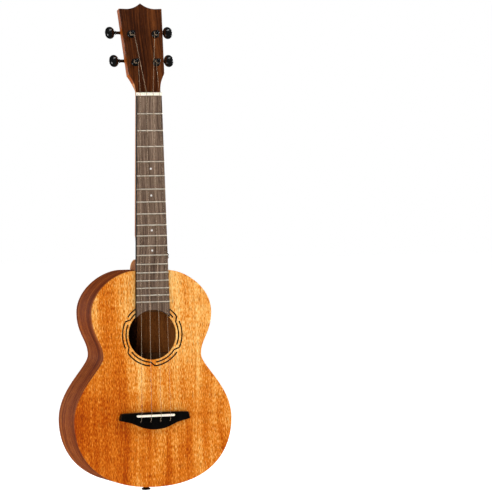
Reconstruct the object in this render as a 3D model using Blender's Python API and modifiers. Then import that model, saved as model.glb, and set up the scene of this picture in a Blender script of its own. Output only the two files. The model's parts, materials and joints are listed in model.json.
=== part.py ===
"""Tenor ukulele with a flat mahogany body, a set neck and four open geared tuners.

Metres. Seen from the front, +X is to the right, +Y goes from the soundboard to the back and
+Z runs up the neck. The origin is where a hanger's yoke holds the neck, under the headstock.
"""

import math

import bmesh
import bpy
from mathutils import Matrix, Vector

GAP = 0.0003
# Points closer than this are treated as one
WELD = 0.0001

# Scale, nut and fretboard
SCALE_LENGTH = 0.4318
FRET_COUNT = 18
BODY_FRET = 14
NUT_Z = -0.014
NUT_THICKNESS = 0.005
NUT_FRONT_Y = -0.0074
NUT_HALF_WIDTH = 0.0177
BOARD_FRONT_Y = -0.0055
BOARD_HALF_WIDTH_AT_BODY = 0.023
FRET_WIDTH = 0.0021
FRET_HEIGHT = 0.001

# Body outline, as half widths and distances down from the body's top edge
BODY_LENGTH = 0.2945
BODY_ABOVE_FRET = 0.003
JOINT_FLAT = 0.022
UPPER_BOUT = (0.0854, 0.0570)
WAIST = (0.0697, 0.1155)
LOWER_BOUT = (0.1123, 0.2035)
# Handles of the outline's curves, each as a distance from the curve's own end
SHOULDER_HANDLES = (0.028, 0.031)
FLANK_HANDLES = (0.030, 0.020)
HIP_HANDLES = (0.017, 0.043)
TAIL_HANDLES = (0.046, 0.082)
DEPTH_AT_TOP = 0.072
DEPTH_AT_TAIL = 0.079
PLATE_THICKNESS = 0.002
SIDE_THICKNESS = 0.0018
LINING_WIDTH = 0.005
LINING_DEPTH = 0.006
BLOCK_THICKNESS = 0.022
TAIL_BLOCK_THICKNESS = 0.012
NECK_BLOCK_HALF_WIDTH = 0.024
TAIL_BLOCK_HALF_WIDTH = 0.018
NECK_BLOCK_CLEARANCE = 0.0004
TAIL_BLOCK_CLEARANCE = 0.0008
LINING_END_CLEARANCE = 0.002

# Braces: width and height of each kind, and how their ends are cut down
TOP_BRACE = (0.007, 0.009)
FAN_BRACE = (0.005, 0.006)
BACK_BRACE = (0.008, 0.010)
BRACE_SCALLOP = 0.016
BRACE_END_SHARE = 0.35
BRACE_CLEARANCE = 0.001
TOP_BRACES_FROM_HOLE = {"upper": 0.0075, "lower": -0.0115}
FAN_LENGTH = 0.054
FAN_BELOW_STRING_HOLES = 0.012
FAN_PLACES = {"left": (-0.034, 10), "centre": (0, 0), "right": (0.034, -10)}
BACK_BRACES_BELOW_TOP = {"upper": 0.055, "middle": 0.120, "lower": 0.205}

# Soundhole and bridge
HOLE_RADIUS = 0.0339
HOLE_BELOW_NUT = 0.3239
BOARD_END_RADIUS = 0.0337
SADDLE_COMPENSATION = 0.0015
SADDLE_HALF_WIDTH = 0.027
SADDLE_THICKNESS = 0.003
SADDLE_FRONT_Y = -0.0112
BRIDGE_THICKNESS = 0.0075
BRIDGE_SLOT_DEPTH = 0.0036
# Half widths and, down from the saddle, the heights of the bridge's corners and curves
BRIDGE_CROWN_TOP = -0.0045
BRIDGE_CROWN_END = (0.0478, -0.0037)
BRIDGE_CROWN_HANDLES = ((0.020, -0.0045), (0.036, -0.0044))
BRIDGE_WING_TIP = (0.050, 0.0055)
BRIDGE_WING_HANDLES = ((0.0425, 0.0077), (0.036, 0.0083))
BRIDGE_HIP = (0.0305, 0.0106)
BRIDGE_BELLY_HANDLES = ((0.0225, 0.0139), (0.015, 0.0188))
BRIDGE_BELLY_DROP = 0.0188
BRIDGE_EASING = 0.0009
PATCH_HALF_WIDTH = 0.055
PATCH_RISE = 0.010
PATCH_DROP = 0.020
PATCH_THICKNESS = 0.002
SADDLE_ROUNDING = 0.0008
STRING_HOLE_DROP = 0.009
STRING_HOLE_RADIUS = 0.001

# Strings, from the bass side to the treble side
STRINGS = {"g": 0.00035, "c": 0.00045, "e": 0.0004, "a": 0.0003}
STRING_SPACING_AT_NUT = 0.0092
STRING_SPACING_AT_SADDLE = 0.0137
STRING_TAIL_DEPTH = 0.0075

# Headstock, in its own tilted plane: distances up from the nut and half widths
HEAD_TILT = math.radians(14)
HEAD_FACE_Y = -0.001
HEAD_THICKNESS = 0.013
VENEER_THICKNESS = 0.0015
CREST_HEIGHT = 0.1263
CORNER = (0.0303, 0.1186)
CREST_DIP = (0.0205, 0.1182)
EAR = (0.0254, 0.0268)
CREST_HANDLES = ((0.0045, 0.1225), (0.0110, 0.1184))
THROAT_HANDLES = ((0.0224, 0.0203), (0.0175, 0.0138))
THROAT_HALF_WIDTH = 0.0174

# Neck and heel
NECK_DEPTH_AT_NUT = 0.0150
NECK_DEPTH_AT_HEEL = 0.0175
HEEL_CAP_HALF_WIDTH = 0.0075
HEEL_CAP_HEIGHT = 0.0135
HEEL_SWEEP = 0.034
HEEL_CAP_THICKNESS = 0.0018
HEEL_TIP_HALF_WIDTH = 0.0006
NECK_UNDER_BOARD = 0.0002
SHAFT_ROUNDNESS = (0.85, 0.9)
# Where the shaft runs on inside the headstock: distance above the nut, front and back depth
NECK_ROOT = (
    (-0.0008, 0.0, 0.0152),
    (-0.0007, 0.0012, 0.0152),
    (0.006, 0.0030, 0.0155),
    (0.013, 0.0050, 0.0153),
)
NECK_ROOT_HALF_WIDTH = 0.0168

# Strap buttons: (radius, height) from the outer face to the seat, and where each one stands
HEEL_BUTTON_PROFILE = [
    (0, 0.0105),
    (0.0048, 0.0105),
    (0.0064, 0.0099),
    (0.0070, 0.0088),
    (0.0066, 0.0077),
    (0.0046, 0.0062),
    (0.0036, 0.0042),
    (0.0040, 0.0020),
    (0.0050, 0),
    (0, 0),
]
TAIL_BUTTON_PROFILE = [
    (0, 0.0070),
    (0.0046, 0.0070),
    (0.0058, 0.0065),
    (0.0063, 0.0056),
    (0.0059, 0.0047),
    (0.0040, 0.0037),
    (0.0034, 0.0026),
    (0.0037, 0.0012),
    (0.0044, 0),
    (0, 0),
]
HEEL_BUTTON_ANGLE = math.radians(24)
HEEL_BUTTON_TILT = math.radians(7)
HEEL_BUTTON_PLACE = (0.01725, 0.01142)
HEEL_BUTTON_RISE = 0.019
STRAP_SEAT_RADIUS = 0.0056

# Tuners, measured from each post's axis at the back of the headstock
POST_ROWS = {"lower": (0.0152, 0.042), "upper": (0.0174, 0.082)}
SIDES = {"left": -1, "right": 1}
POST_HOLE_RADIUS = 0.0045
POST_RADIUS = 0.003
POST_WAIST_RADIUS = 0.0023
POST_WAIST_HEIGHT = 0.0065
POST_HEIGHT = 0.0115
HUB_BORE_RADIUS = 0.0015
HUB_BORE_DEPTH = 0.004
STRING_BORE_RADIUS = 0.0007
BUSHING_FLANGE_RADIUS = 0.0054
BUSHING_RIM_RADIUS = 0.0044
BUSHING_HEIGHT = 0.0016
BUSHING_DEPTH = 0.0060
PLATE_METAL = 0.001
PLATE_HALF_OUTLINE = [
    (0, 0.0204),
    (0.0014, 0.0172),
    (0.0036, 0.0157),
    (0.0064, 0.0139),
    (0.0048, 0.0122),
    (0.0084, 0.0113),
    (0.0090, 0.0090),
    (0.0086, 0.0038),
    (0.0070, 0.0020),
    (0.0084, -0.0030),
    (0.0086, -0.0056),
    (0.0052, -0.0076),
    (0.0034, -0.0096),
    (0, -0.0130),
]
PLATE_BORE_RADIUS = 0.0035
GEAR_TEETH = 14
GEAR_PITCH_RADIUS = 0.005
GEAR_TIP_RADIUS = 0.0056
GEAR_ROOT_RADIUS = 0.0042
GEAR_THICKNESS = 0.0024
TOOTH_HALF_WIDTH_AT_ROOT = 0.0006
TOOTH_HALF_WIDTH_AT_TIP = 0.00022
SCREW_SHANK_RADIUS = 0.0012
SCREW_HEAD_RADIUS = 0.0028
SCREW_HEAD_HEIGHT = 0.0012
WORM_PITCH_RADIUS = 0.0024
WORM_TIP_RADIUS = 0.0029
WORM_ROOT_RADIUS = 0.0016
WORM_TURNS = 4
THREAD_HALF_WIDTH_AT_ROOT = 0.00042
THREAD_HALF_WIDTH_AT_TIP = 0.00016
SHAFT_INNER_END = -0.0090
SHAFT_IN_BUTTON = 0.0035
SHAFT_CHAMFER = 0.0004
SLEEVE_RADIUS = 0.0021
SLEEVE_REACH = (0.0086, 0.0158)
LUG_INSET = 0.0070
LUG_THICKNESS = 0.0022
LUG_RADIUS = 0.0038
BUTTON_OUT = 0.0240
BUTTON_LENGTH = 0.0135
BUTTON_WIDTH = 0.0170
BUTTON_THICKNESS = 0.0085
BUTTON_COLLAR_RADIUS = 0.0027
BUTTON_COLLAR_START = 0.0079
BUTTON_SOCKET_END = 0.0030

# Cutters reach at least this far past whatever they cut
CLEAR = 0.02

HOLE_Z = NUT_Z - HOLE_BELOW_NUT
SADDLE_Z = NUT_Z - SCALE_LENGTH - SADDLE_COMPENSATION
STRING_HOLE_Z = SADDLE_Z - STRING_HOLE_DROP
NUT_TOP_Z = NUT_Z + NUT_THICKNESS
TOOTH_PITCH = math.tau * GEAR_PITCH_RADIUS / GEAR_TEETH
WORM_RISE = GEAR_PITCH_RADIUS + WORM_PITCH_RADIUS
WORM_DEPTH = PLATE_METAL + WORM_TIP_RADIUS + GAP
TAPER = math.atan((DEPTH_AT_TAIL - DEPTH_AT_TOP) / BODY_LENGTH)

# A frame's local X and Y lie in a piece's plane and its local Z points to the front
FRONT_FRAME = Matrix.Rotation(math.radians(90), 4, "X")
HEAD_FRAME = (
    Matrix.Translation((0, HEAD_FACE_Y, NUT_TOP_Z))
    @ Matrix.Rotation(math.radians(90) - HEAD_TILT, 4, "X")
)


def fret_z(number):
    """Height of a fret; fret 0 is the nut's lower face."""
    return NUT_Z - SCALE_LENGTH * (1 - 2 ** (-number / 12))


BODY_TOP_Z = fret_z(BODY_FRET) + BODY_ABOVE_FRET
BODY_BOTTOM_Z = BODY_TOP_Z - BODY_LENGTH
BACK_FRAME = (
    Matrix.Translation((0, DEPTH_AT_TOP, BODY_TOP_Z))
    @ Matrix.Rotation(math.radians(90) + TAPER, 4, "X")
)


def back_y(z):
    """Depth of the back plate's outer face at a height."""
    return DEPTH_AT_TOP + math.tan(TAPER) * (BODY_TOP_Z - z)


def board_half_width(z):
    """Half width of the tapered fretboard at a height."""
    fall = (NUT_Z - z) / (NUT_Z - fret_z(BODY_FRET))
    return NUT_HALF_WIDTH + (BOARD_HALF_WIDTH_AT_BODY - NUT_HALF_WIDTH) * fall


# ---------------------------------------------------------------- scene helpers


def clear_scene():
    for item in list(bpy.data.objects):
        bpy.data.objects.remove(item, do_unlink=True)


def new_collection(name):
    group = bpy.data.collections.new(name)
    bpy.context.scene.collection.children.link(group)
    return group


clear_scene()
PARTS = new_collection("tenor_ukulele")
CUTTERS = new_collection("cutters")


def make_material(name, colour, roughness, metallic=0.0):
    material = bpy.data.materials.new(name)
    material.use_nodes = True
    shader = material.node_tree.nodes["Principled BSDF"]
    shader.inputs["Base Color"].default_value = (*colour, 1)
    shader.inputs["Roughness"].default_value = roughness
    shader.inputs["Metallic"].default_value = metallic
    return material


MATERIALS = {
    "top_mahogany": make_material("top_mahogany", (0.60, 0.24, 0.05), 0.30),
    "side_mahogany": make_material("side_mahogany", (0.22, 0.08, 0.04), 0.35),
    "back_mahogany": make_material("back_mahogany", (0.52, 0.20, 0.05), 0.30),
    "inner_wood": make_material("inner_wood", (0.55, 0.36, 0.18), 0.70),
    "neck_wood": make_material("neck_wood", (0.58, 0.27, 0.08), 0.25),
    "heel_cap_wood": make_material("heel_cap_wood", (0.72, 0.42, 0.16), 0.30),
    "walnut_veneer": make_material("walnut_veneer", (0.14, 0.05, 0.02), 0.30),
    "fretboard_wood": make_material("fretboard_wood", (0.12, 0.08, 0.06), 0.55),
    "bridge_wood": make_material("bridge_wood", (0.03, 0.02, 0.02), 0.45),
    "cream_bone": make_material("cream_bone", (0.85, 0.80, 0.65), 0.40),
    "string_nylon": make_material("string_nylon", (0.75, 0.74, 0.72), 0.25),
    "black_metal": make_material("black_metal", (0.02, 0.02, 0.02), 0.35, 1.0),
    "gear_brass": make_material("gear_brass", (0.75, 0.58, 0.28), 0.30, 1.0),
    "button_plastic": make_material("button_plastic", (0.01, 0.01, 0.01), 0.10),
    "chrome": make_material("chrome", (0.80, 0.80, 0.80), 0.08, 1.0),
}


def add_piece(name, data, frame, material=None, parent=None):
    """Put a mesh or curve in the model, or among the cutters when it has no material."""
    piece = bpy.data.objects.new(name, data)
    if material:
        PARTS.objects.link(piece)
        if data.users == 1:
            data.materials.append(MATERIALS[material])
    else:
        CUTTERS.objects.link(piece)
        piece.hide_render = True
        piece.display_type = "WIRE"
    piece.parent = parent
    piece.matrix_local = frame
    return piece


def mesh_from_bmesh(name, work):
    bmesh.ops.recalc_face_normals(work, faces=work.faces)
    mesh = bpy.data.meshes.new(name)
    work.to_mesh(mesh)
    work.free()
    return mesh


def shade(mesh, angle=30):
    mesh.shade_smooth()
    mesh.set_sharp_from_angle(angle=math.radians(angle))
    return mesh


def mesh_from_curve(name, data):
    """Turn a curve into one welded mesh."""
    holder = bpy.data.objects.new(name, data)
    bpy.context.scene.collection.objects.link(holder)
    graph = bpy.context.evaluated_depsgraph_get()
    mesh = bpy.data.meshes.new_from_object(holder.evaluated_get(graph))
    bpy.data.objects.remove(holder)
    work = bmesh.new()
    work.from_mesh(mesh)
    bmesh.ops.remove_doubles(work, verts=work.verts, dist=1e-6)
    return mesh_from_bmesh(name, work)


# ---------------------------------------------------------------- shape helpers


def flat_mesh(name, loops, low, high):
    """Extrude closed loops of (x, y) points between two local heights."""
    data = bpy.data.curves.new(name, "CURVE")
    data.dimensions = "2D"
    data.fill_mode = "BOTH"
    data.extrude = (high - low) / 2
    for loop in loops:
        spline = data.splines.new("POLY")
        spline.points.add(len(loop) - 1)
        for point, (x, y) in zip(spline.points, loop):
            point.co = (x, y, 0, 1)
        spline.use_cyclic_u = True
    mesh = mesh_from_curve(name, data)
    mesh.transform(Matrix.Translation((0, 0, (high + low) / 2)))
    return mesh


def circle(centre_x, centre_y, radius, steps, start=0.0):
    angles = [start + math.tau * step / steps for step in range(steps)]
    return [(centre_x + radius * math.cos(a), centre_y + radius * math.sin(a)) for a in angles]


def bezier(start, first, second, end, steps):
    """Points along a cubic curve, without its end point."""
    points = []
    for step in range(steps):
        t = step / steps
        weights = ((1 - t) ** 3, 3 * (1 - t) ** 2 * t, 3 * (1 - t) * t * t, t**3)
        controls = (start, first, second, end)
        points.append(tuple(sum(w * c[i] for w, c in zip(weights, controls)) for i in (0, 1)))
    return points


def mirrored(half):
    """Close a right half, given from the top centre to the bottom centre, with its left half."""
    inner = [(x, y) for x, y in half if x > 1e-6]
    ends = [(x, y) for x, y in half if x <= 1e-6]
    left = [(-x, y) for x, y in reversed(inner)]
    return ends[:1] + inner + ends[1:] + left


def box_mesh(name, low, high):
    work = bmesh.new()
    bmesh.ops.create_cube(work, size=1)
    size = Vector(high) - Vector(low)
    middle = (Vector(high) + Vector(low)) / 2
    bmesh.ops.scale(work, vec=size, verts=work.verts)
    bmesh.ops.translate(work, vec=middle, verts=work.verts)
    return mesh_from_bmesh(name, work)


def cylinder_mesh(name, radius, low, high, steps=24):
    """A cylinder along local Z."""
    work = bmesh.new()
    bmesh.ops.create_cone(
        work, cap_ends=True, segments=steps, radius1=radius, radius2=radius, depth=high - low
    )
    bmesh.ops.translate(work, vec=(0, 0, (high + low) / 2), verts=work.verts)
    return mesh_from_bmesh(name, work)


def turned_mesh(name, profile, steps=24, closed=False):
    """A mesh of (radius, height) points for a Screw modifier about local Z."""
    mesh = bpy.data.meshes.new(name)
    edges = [(i, i + 1) for i in range(len(profile) - 1)]
    if closed:
        edges.append((len(profile) - 1, 0))
    mesh.from_pydata([(radius, 0, height) for radius, height in profile], edges, [])
    return mesh


def turn(piece, steps=24):
    screw = piece.modifiers.new("turn", "SCREW")
    screw.axis = "Z"
    screw.steps = steps
    screw.render_steps = steps
    screw.use_merge_vertices = True
    screw.merge_threshold = WELD / 10
    screw.use_smooth_shade = True
    return piece


def cut(piece, cutter, operation="DIFFERENCE"):
    boolean = piece.modifiers.new(f"{operation.lower()}_{cutter.name}", "BOOLEAN")
    boolean.operation = operation
    boolean.solver = "EXACT"
    boolean.use_self = operation == "UNION"
    boolean.object = cutter
    return piece


def add_cutter(name, mesh, frame=None, parent=None):
    return add_piece(name, mesh, frame or Matrix.Identity(4), None, parent)


# ---------------------------------------------------------------- body


def half_outline():
    """Right half of the body's outline from the top centre to the bottom centre."""
    upper_x, upper_z = UPPER_BOUT[0], BODY_TOP_Z - UPPER_BOUT[1]
    waist_x, waist_z = WAIST[0], BODY_TOP_Z - WAIST[1]
    lower_x, lower_z = LOWER_BOUT[0], BODY_TOP_Z - LOWER_BOUT[1]
    shoulder = bezier(
        (JOINT_FLAT, BODY_TOP_Z),
        (JOINT_FLAT + SHOULDER_HANDLES[0], BODY_TOP_Z),
        (upper_x, upper_z + SHOULDER_HANDLES[1]),
        (upper_x, upper_z),
        9,
    )
    flank = bezier(
        (upper_x, upper_z),
        (upper_x, upper_z - FLANK_HANDLES[0]),
        (waist_x, waist_z + FLANK_HANDLES[1]),
        (waist_x, waist_z),
        9,
    )
    hip = bezier(
        (waist_x, waist_z),
        (waist_x, waist_z - HIP_HANDLES[0]),
        (lower_x, lower_z + HIP_HANDLES[1]),
        (lower_x, lower_z),
        10,
    )
    tail = bezier(
        (lower_x, lower_z),
        (lower_x, lower_z - TAIL_HANDLES[0]),
        (TAIL_HANDLES[1], BODY_BOTTOM_Z),
        (0, BODY_BOTTOM_Z),
        13,
    )
    return [(0, BODY_TOP_Z), *shoulder, *flank, *hip, *tail, (0, BODY_BOTTOM_Z)]


OUTLINE = half_outline()


def inset_outline(distance):
    """The right half outline moved inwards; its ends stay on the centre line."""
    moved = []
    for index, (x, z) in enumerate(OUTLINE):
        before = OUTLINE[index - 1] if index else (-x, z)
        after = OUTLINE[index + 1] if index + 1 < len(OUTLINE) else (-before[0], z)
        along = Vector((after[0] - before[0], after[1] - before[1])).normalized()
        moved.append((x + along.y * distance, z - along.x * distance))
    moved[0] = (0, BODY_TOP_Z - distance)
    moved[-1] = (0, BODY_BOTTOM_Z + distance)
    return moved


def add_soundboard():
    loops = [mirrored(OUTLINE), circle(0, HOLE_Z, HOLE_RADIUS, 40), *string_holes()]
    mesh = flat_mesh("soundboard", loops, -PLATE_THICKNESS, 0)
    add_piece("soundboard", shade(mesh), FRONT_FRAME, "top_mahogany")


def add_back_plate():
    loop = [(x, z - BODY_TOP_Z) for x, z in mirrored(OUTLINE)]
    mesh = flat_mesh("back_plate", [loop], 0, PLATE_THICKNESS)
    add_piece("back_plate", shade(mesh), BACK_FRAME, "back_mahogany")


def strip_mesh(name, side, outer_inset, inner_inset, top_cut, bottom_cut, front, back):
    """A bent strip that follows one side of the outline between two insets.

    The cuts are how far its ends stay from the centre line. front and back are its edges'
    depths, each a function of height.
    """
    outer = trimmed(inset_outline(outer_inset), top_cut, bottom_cut)
    inner = trimmed(inset_outline(inner_inset), top_cut, bottom_cut)
    loop = [(side * x, z) for x, z in outer + inner[::-1]]
    mesh = flat_mesh(name, [loop], 0, 1)
    mesh.transform(FRONT_FRAME)
    for vertex in mesh.vertices:
        depth_at = back if round(vertex.co.y) == 0 else front
        vertex.co.y = depth_at(vertex.co.z)
    return shade(mesh)


def trimmed(points, top_cut, bottom_cut):
    """Keep the points farther from the centre line than the cuts, and end exactly on them."""
    first = 0
    while points[first][0] <= top_cut + WELD:
        first += 1
    last = len(points) - 1
    while points[last][0] <= bottom_cut + WELD:
        last -= 1
    start = between(points[first - 1], points[first], top_cut)
    end = between(points[last + 1], points[last], bottom_cut)
    return [start, *points[first : last + 1], end]


def between(near, far, x):
    """The point at a given x on the line between two points."""
    share = (x - near[0]) / (far[0] - near[0])
    return (x, near[1] + (far[1] - near[1]) * share)


def add_sides_and_linings():
    skin = PLATE_THICKNESS + GAP
    inside = SIDE_THICKNESS + GAP
    for name, side in SIDES.items():
        rib = strip_mesh(
            f"side_{name}", side, 0, SIDE_THICKNESS, GAP / 2, GAP / 2,
            lambda z: skin, lambda z: back_y(z) - skin,
        )
        add_piece(f"side_{name}", rib, Matrix.Identity(4), "side_mahogany")
        clear_top = NECK_BLOCK_HALF_WIDTH + LINING_END_CLEARANCE
        clear_tail = TAIL_BLOCK_HALF_WIDTH + LINING_END_CLEARANCE
        edges = {
            "top": (lambda z: skin, lambda z: skin + LINING_DEPTH),
            "back": (lambda z: back_y(z) - skin - LINING_DEPTH, lambda z: back_y(z) - skin),
        }
        for face, (front, back) in edges.items():
            lining = strip_mesh(
                f"lining_{face}_{name}", side, inside, inside + LINING_WIDTH,
                clear_top, clear_tail, front, back,
            )
            add_piece(f"lining_{face}_{name}", lining, Matrix.Identity(4), "inner_wood")


def add_blocks():
    skin = PLATE_THICKNESS + GAP
    neck_top = BODY_TOP_Z - SIDE_THICKNESS - GAP - NECK_BLOCK_CLEARANCE
    tail_low = BODY_BOTTOM_Z + SIDE_THICKNESS + GAP + TAIL_BLOCK_CLEARANCE
    blocks = {
        "neck_block": (NECK_BLOCK_HALF_WIDTH, neck_top - BLOCK_THICKNESS, neck_top),
        "tail_block": (TAIL_BLOCK_HALF_WIDTH, tail_low, tail_low + TAIL_BLOCK_THICKNESS),
    }
    for name, (half, low, high) in blocks.items():
        mesh = box_mesh(name, (-half, skin, low), (half, DEPTH_AT_TOP, high))
        for vertex in mesh.vertices:
            if vertex.co.y > DEPTH_AT_TOP / 2:
                vertex.co.y = back_y(vertex.co.z) - skin
        add_piece(name, mesh, Matrix.Identity(4), "inner_wood")


def brace_mesh(name, half_length, width, height):
    """A bar along local X on the local XY plane, with its ends scalloped down."""
    low = height * BRACE_END_SHARE
    scallop = half_length - BRACE_SCALLOP
    outline = [
        (-half_length, 0),
        (half_length, 0),
        (half_length, low),
        (scallop, height),
        (-scallop, height),
        (-half_length, low),
    ]
    return flat_mesh(name, [outline], -width / 2, width / 2)


def brace_reach(z):
    """How far a cross brace may run before it meets the linings."""
    wall = inset_outline(SIDE_THICKNESS + GAP + LINING_WIDTH)
    beside = max(TOP_BRACE[0], BACK_BRACE[0]) * 1.5
    near = [x for x, height in wall[1:-1] if abs(height - z) < beside]
    return min(near) - BRACE_CLEARANCE


def add_top_braces():
    inner_face = PLATE_THICKNESS + GAP
    for name, offset in TOP_BRACES_FROM_HOLE.items():
        z = HOLE_Z + math.copysign(HOLE_RADIUS, offset) + offset
        mesh = brace_mesh(f"top_brace_{name}", brace_reach(z), *TOP_BRACE)
        add_piece(f"top_brace_{name}", mesh, Matrix.Translation((0, inner_face, z)), "inner_wood")
    fan_z = STRING_HOLE_Z - FAN_BELOW_STRING_HOLES - FAN_LENGTH / 2
    for name, (x, lean) in FAN_PLACES.items():
        mesh = brace_mesh(f"fan_brace_{name}", FAN_LENGTH / 2, *FAN_BRACE)
        upright = Matrix.Rotation(math.radians(90 + lean), 4, "Y")
        place = Matrix.Translation((x, inner_face, fan_z))
        add_piece(f"fan_brace_{name}", mesh, place @ upright, "inner_wood")


def add_back_braces():
    turn_over = Matrix.Rotation(math.pi, 4, "X")
    for name, fall in BACK_BRACES_BELOW_TOP.items():
        z = BODY_TOP_Z - fall
        mesh = brace_mesh(f"back_brace_{name}", brace_reach(z), *BACK_BRACE)
        inner_face = back_y(z) - PLATE_THICKNESS - GAP - WELD
        place = Matrix.Translation((0, inner_face, z)) @ Matrix.Rotation(TAPER, 4, "X") @ turn_over
        add_piece(f"back_brace_{name}", mesh, place, "inner_wood")


def add_bridge_patch():
    inner_face = PLATE_THICKNESS + GAP
    low, high = SADDLE_Z - PATCH_DROP, SADDLE_Z + PATCH_RISE
    wide = PATCH_HALF_WIDTH
    loop = [(-wide, high), (-wide, low), (wide, low), (wide, high)]
    mesh = flat_mesh("bridge_patch", [loop, *string_holes()], -inner_face - PATCH_THICKNESS, -inner_face)
    add_piece("bridge_patch", mesh, FRONT_FRAME, "inner_wood")


# ---------------------------------------------------------------- bridge, saddle, nut, strings


def string_places(spacing):
    middle = (len(STRINGS) - 1) / 2
    return [(index - middle) * spacing for index in range(len(STRINGS))]


def saddle_places():
    return string_places(STRING_SPACING_AT_SADDLE)


def string_holes():
    """The four loops that let the strings through the bridge, soundboard and patch."""
    return [circle(x, STRING_HOLE_Z, STRING_HOLE_RADIUS, 8) for x in saddle_places()]


def bridge_half_outline():
    """Right half of the bridge, from the middle of its upper edge to the tip of its belly."""
    crown = bezier((0, BRIDGE_CROWN_TOP), *BRIDGE_CROWN_HANDLES, BRIDGE_CROWN_END, 4)
    wing = bezier(BRIDGE_WING_TIP, *BRIDGE_WING_HANDLES, BRIDGE_HIP, 4)
    belly = bezier(BRIDGE_HIP, *BRIDGE_BELLY_HANDLES, (0, BRIDGE_BELLY_DROP), 6)
    points = [*crown, BRIDGE_CROWN_END, *wing, *belly, (0, BRIDGE_BELLY_DROP)]
    return [(x, SADDLE_Z - drop) for x, drop in points]


def add_bridge():
    loops = [mirrored(bridge_half_outline()), *string_holes()]
    mesh = flat_mesh("bridge", loops, GAP, BRIDGE_THICKNESS + GAP)
    bridge = add_piece("bridge", mesh, FRONT_FRAME, "bridge_wood")
    slot_half = SADDLE_THICKNESS / 2 + GAP
    slot_end = SADDLE_HALF_WIDTH + GAP
    floor = BRIDGE_THICKNESS + GAP - BRIDGE_SLOT_DEPTH
    low = (-slot_end, SADDLE_Z - slot_half, floor)
    high = (slot_end, SADDLE_Z + slot_half, CLEAR)
    cut(bridge, add_cutter("saddle_slot", box_mesh("saddle_slot", low, high), FRONT_FRAME))
    bevel = bridge.modifiers.new("eased_edges", "BEVEL")
    bevel.width = BRIDGE_EASING
    bevel.segments = 1
    bevel.limit_method = "ANGLE"
    bevel.angle_limit = math.radians(60)
    bevel.use_clamp_overlap = True
    return bridge


def add_saddle():
    floor = -(BRIDGE_THICKNESS - BRIDGE_SLOT_DEPTH)
    low = (-SADDLE_HALF_WIDTH, SADDLE_FRONT_Y, SADDLE_Z - SADDLE_THICKNESS / 2)
    high = (SADDLE_HALF_WIDTH, floor - 2 * GAP, SADDLE_Z + SADDLE_THICKNESS / 2)
    saddle = add_piece("saddle", box_mesh("saddle", low, high), Matrix.Identity(4), "cream_bone")
    bevel = saddle.modifiers.new("rounded_crown", "BEVEL")
    bevel.width = SADDLE_ROUNDING
    bevel.segments = 2


def string_y_at_nut(radius):
    return NUT_FRONT_Y + radius


def add_nut():
    low = (-NUT_HALF_WIDTH, NUT_FRONT_Y, NUT_Z + GAP)
    high = (NUT_HALF_WIDTH, -GAP, NUT_TOP_Z - GAP)
    nut = add_piece("nut", box_mesh("nut", low, high), Matrix.Identity(4), "cream_bone")
    for (name, radius), x in zip(STRINGS.items(), string_places(STRING_SPACING_AT_NUT)):
        half = radius + GAP
        floor = string_y_at_nut(radius) + radius + GAP
        slot_low = (x - half, -CLEAR, NUT_Z - CLEAR)
        slot = box_mesh(f"nut_slot_{name}", slot_low, (x + half, floor, NUT_TOP_Z + CLEAR))
        cut(nut, add_cutter(f"nut_slot_{name}", slot))


def string_route(index, radius):
    """A string from its post, over nut and saddle, into its hole in the bridge."""
    side = -1 if index < 2 else 1
    row = "lower" if index in (0, 3) else "upper"
    post_x, post_rise = POST_ROWS[row]
    beside_post = side * (post_x - POST_WAIST_RADIUS - radius - GAP)
    nut_x = string_places(STRING_SPACING_AT_NUT)[index]
    saddle_x = saddle_places()[index]
    saddle_y = SADDLE_FRONT_Y - radius - GAP
    crown = SADDLE_THICKNESS / 2
    over_bridge = -BRIDGE_THICKNESS - GAP
    return [
        HEAD_FRAME @ Vector((beside_post, post_rise, POST_WAIST_HEIGHT)),
        Vector((nut_x, string_y_at_nut(radius), NUT_TOP_Z)),
        Vector((nut_x, string_y_at_nut(radius), NUT_Z)),
        Vector((saddle_x, saddle_y, SADDLE_Z + crown)),
        Vector((saddle_x, saddle_y, SADDLE_Z - crown * 0.6)),
        Vector((saddle_x, saddle_y + 0.0011, SADDLE_Z - crown - 0.0012)),
        Vector((saddle_x, over_bridge - 0.0009, STRING_HOLE_Z + 0.0007)),
        Vector((saddle_x, over_bridge, STRING_HOLE_Z + 0.0001)),
        Vector((saddle_x, over_bridge + 0.0013, STRING_HOLE_Z)),
        Vector((saddle_x, STRING_TAIL_DEPTH, STRING_HOLE_Z)),
    ]


def tube_curve(name, route, radius):
    data = bpy.data.curves.new(name, "CURVE")
    data.dimensions = "3D"
    data.bevel_depth = radius
    data.bevel_resolution = 2
    data.use_fill_caps = True
    spline = data.splines.new("POLY")
    spline.points.add(len(route) - 1)
    for point, place in zip(spline.points, route):
        point.co = (*place, 1)
    return data


def add_strings():
    for index, (name, radius) in enumerate(STRINGS.items()):
        data = tube_curve(f"string_{name}", string_route(index, radius), radius)
        add_piece(f"string_{name}", data, Matrix.Identity(4), "string_nylon")


# ---------------------------------------------------------------- fretboard


def board_outline():
    """The fretboard's taper and its hollow end, which follows the soundhole."""
    corner = math.acos(board_half_width(HOLE_Z + BOARD_END_RADIUS) / BOARD_END_RADIUS)
    arc = [corner + (math.pi - 2 * corner) * step / 12 for step in range(13)]
    end = [(BOARD_END_RADIUS * math.cos(a), HOLE_Z + BOARD_END_RADIUS * math.sin(a)) for a in arc]
    return [(-NUT_HALF_WIDTH, NUT_Z), (NUT_HALF_WIDTH, NUT_Z), *end]


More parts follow.
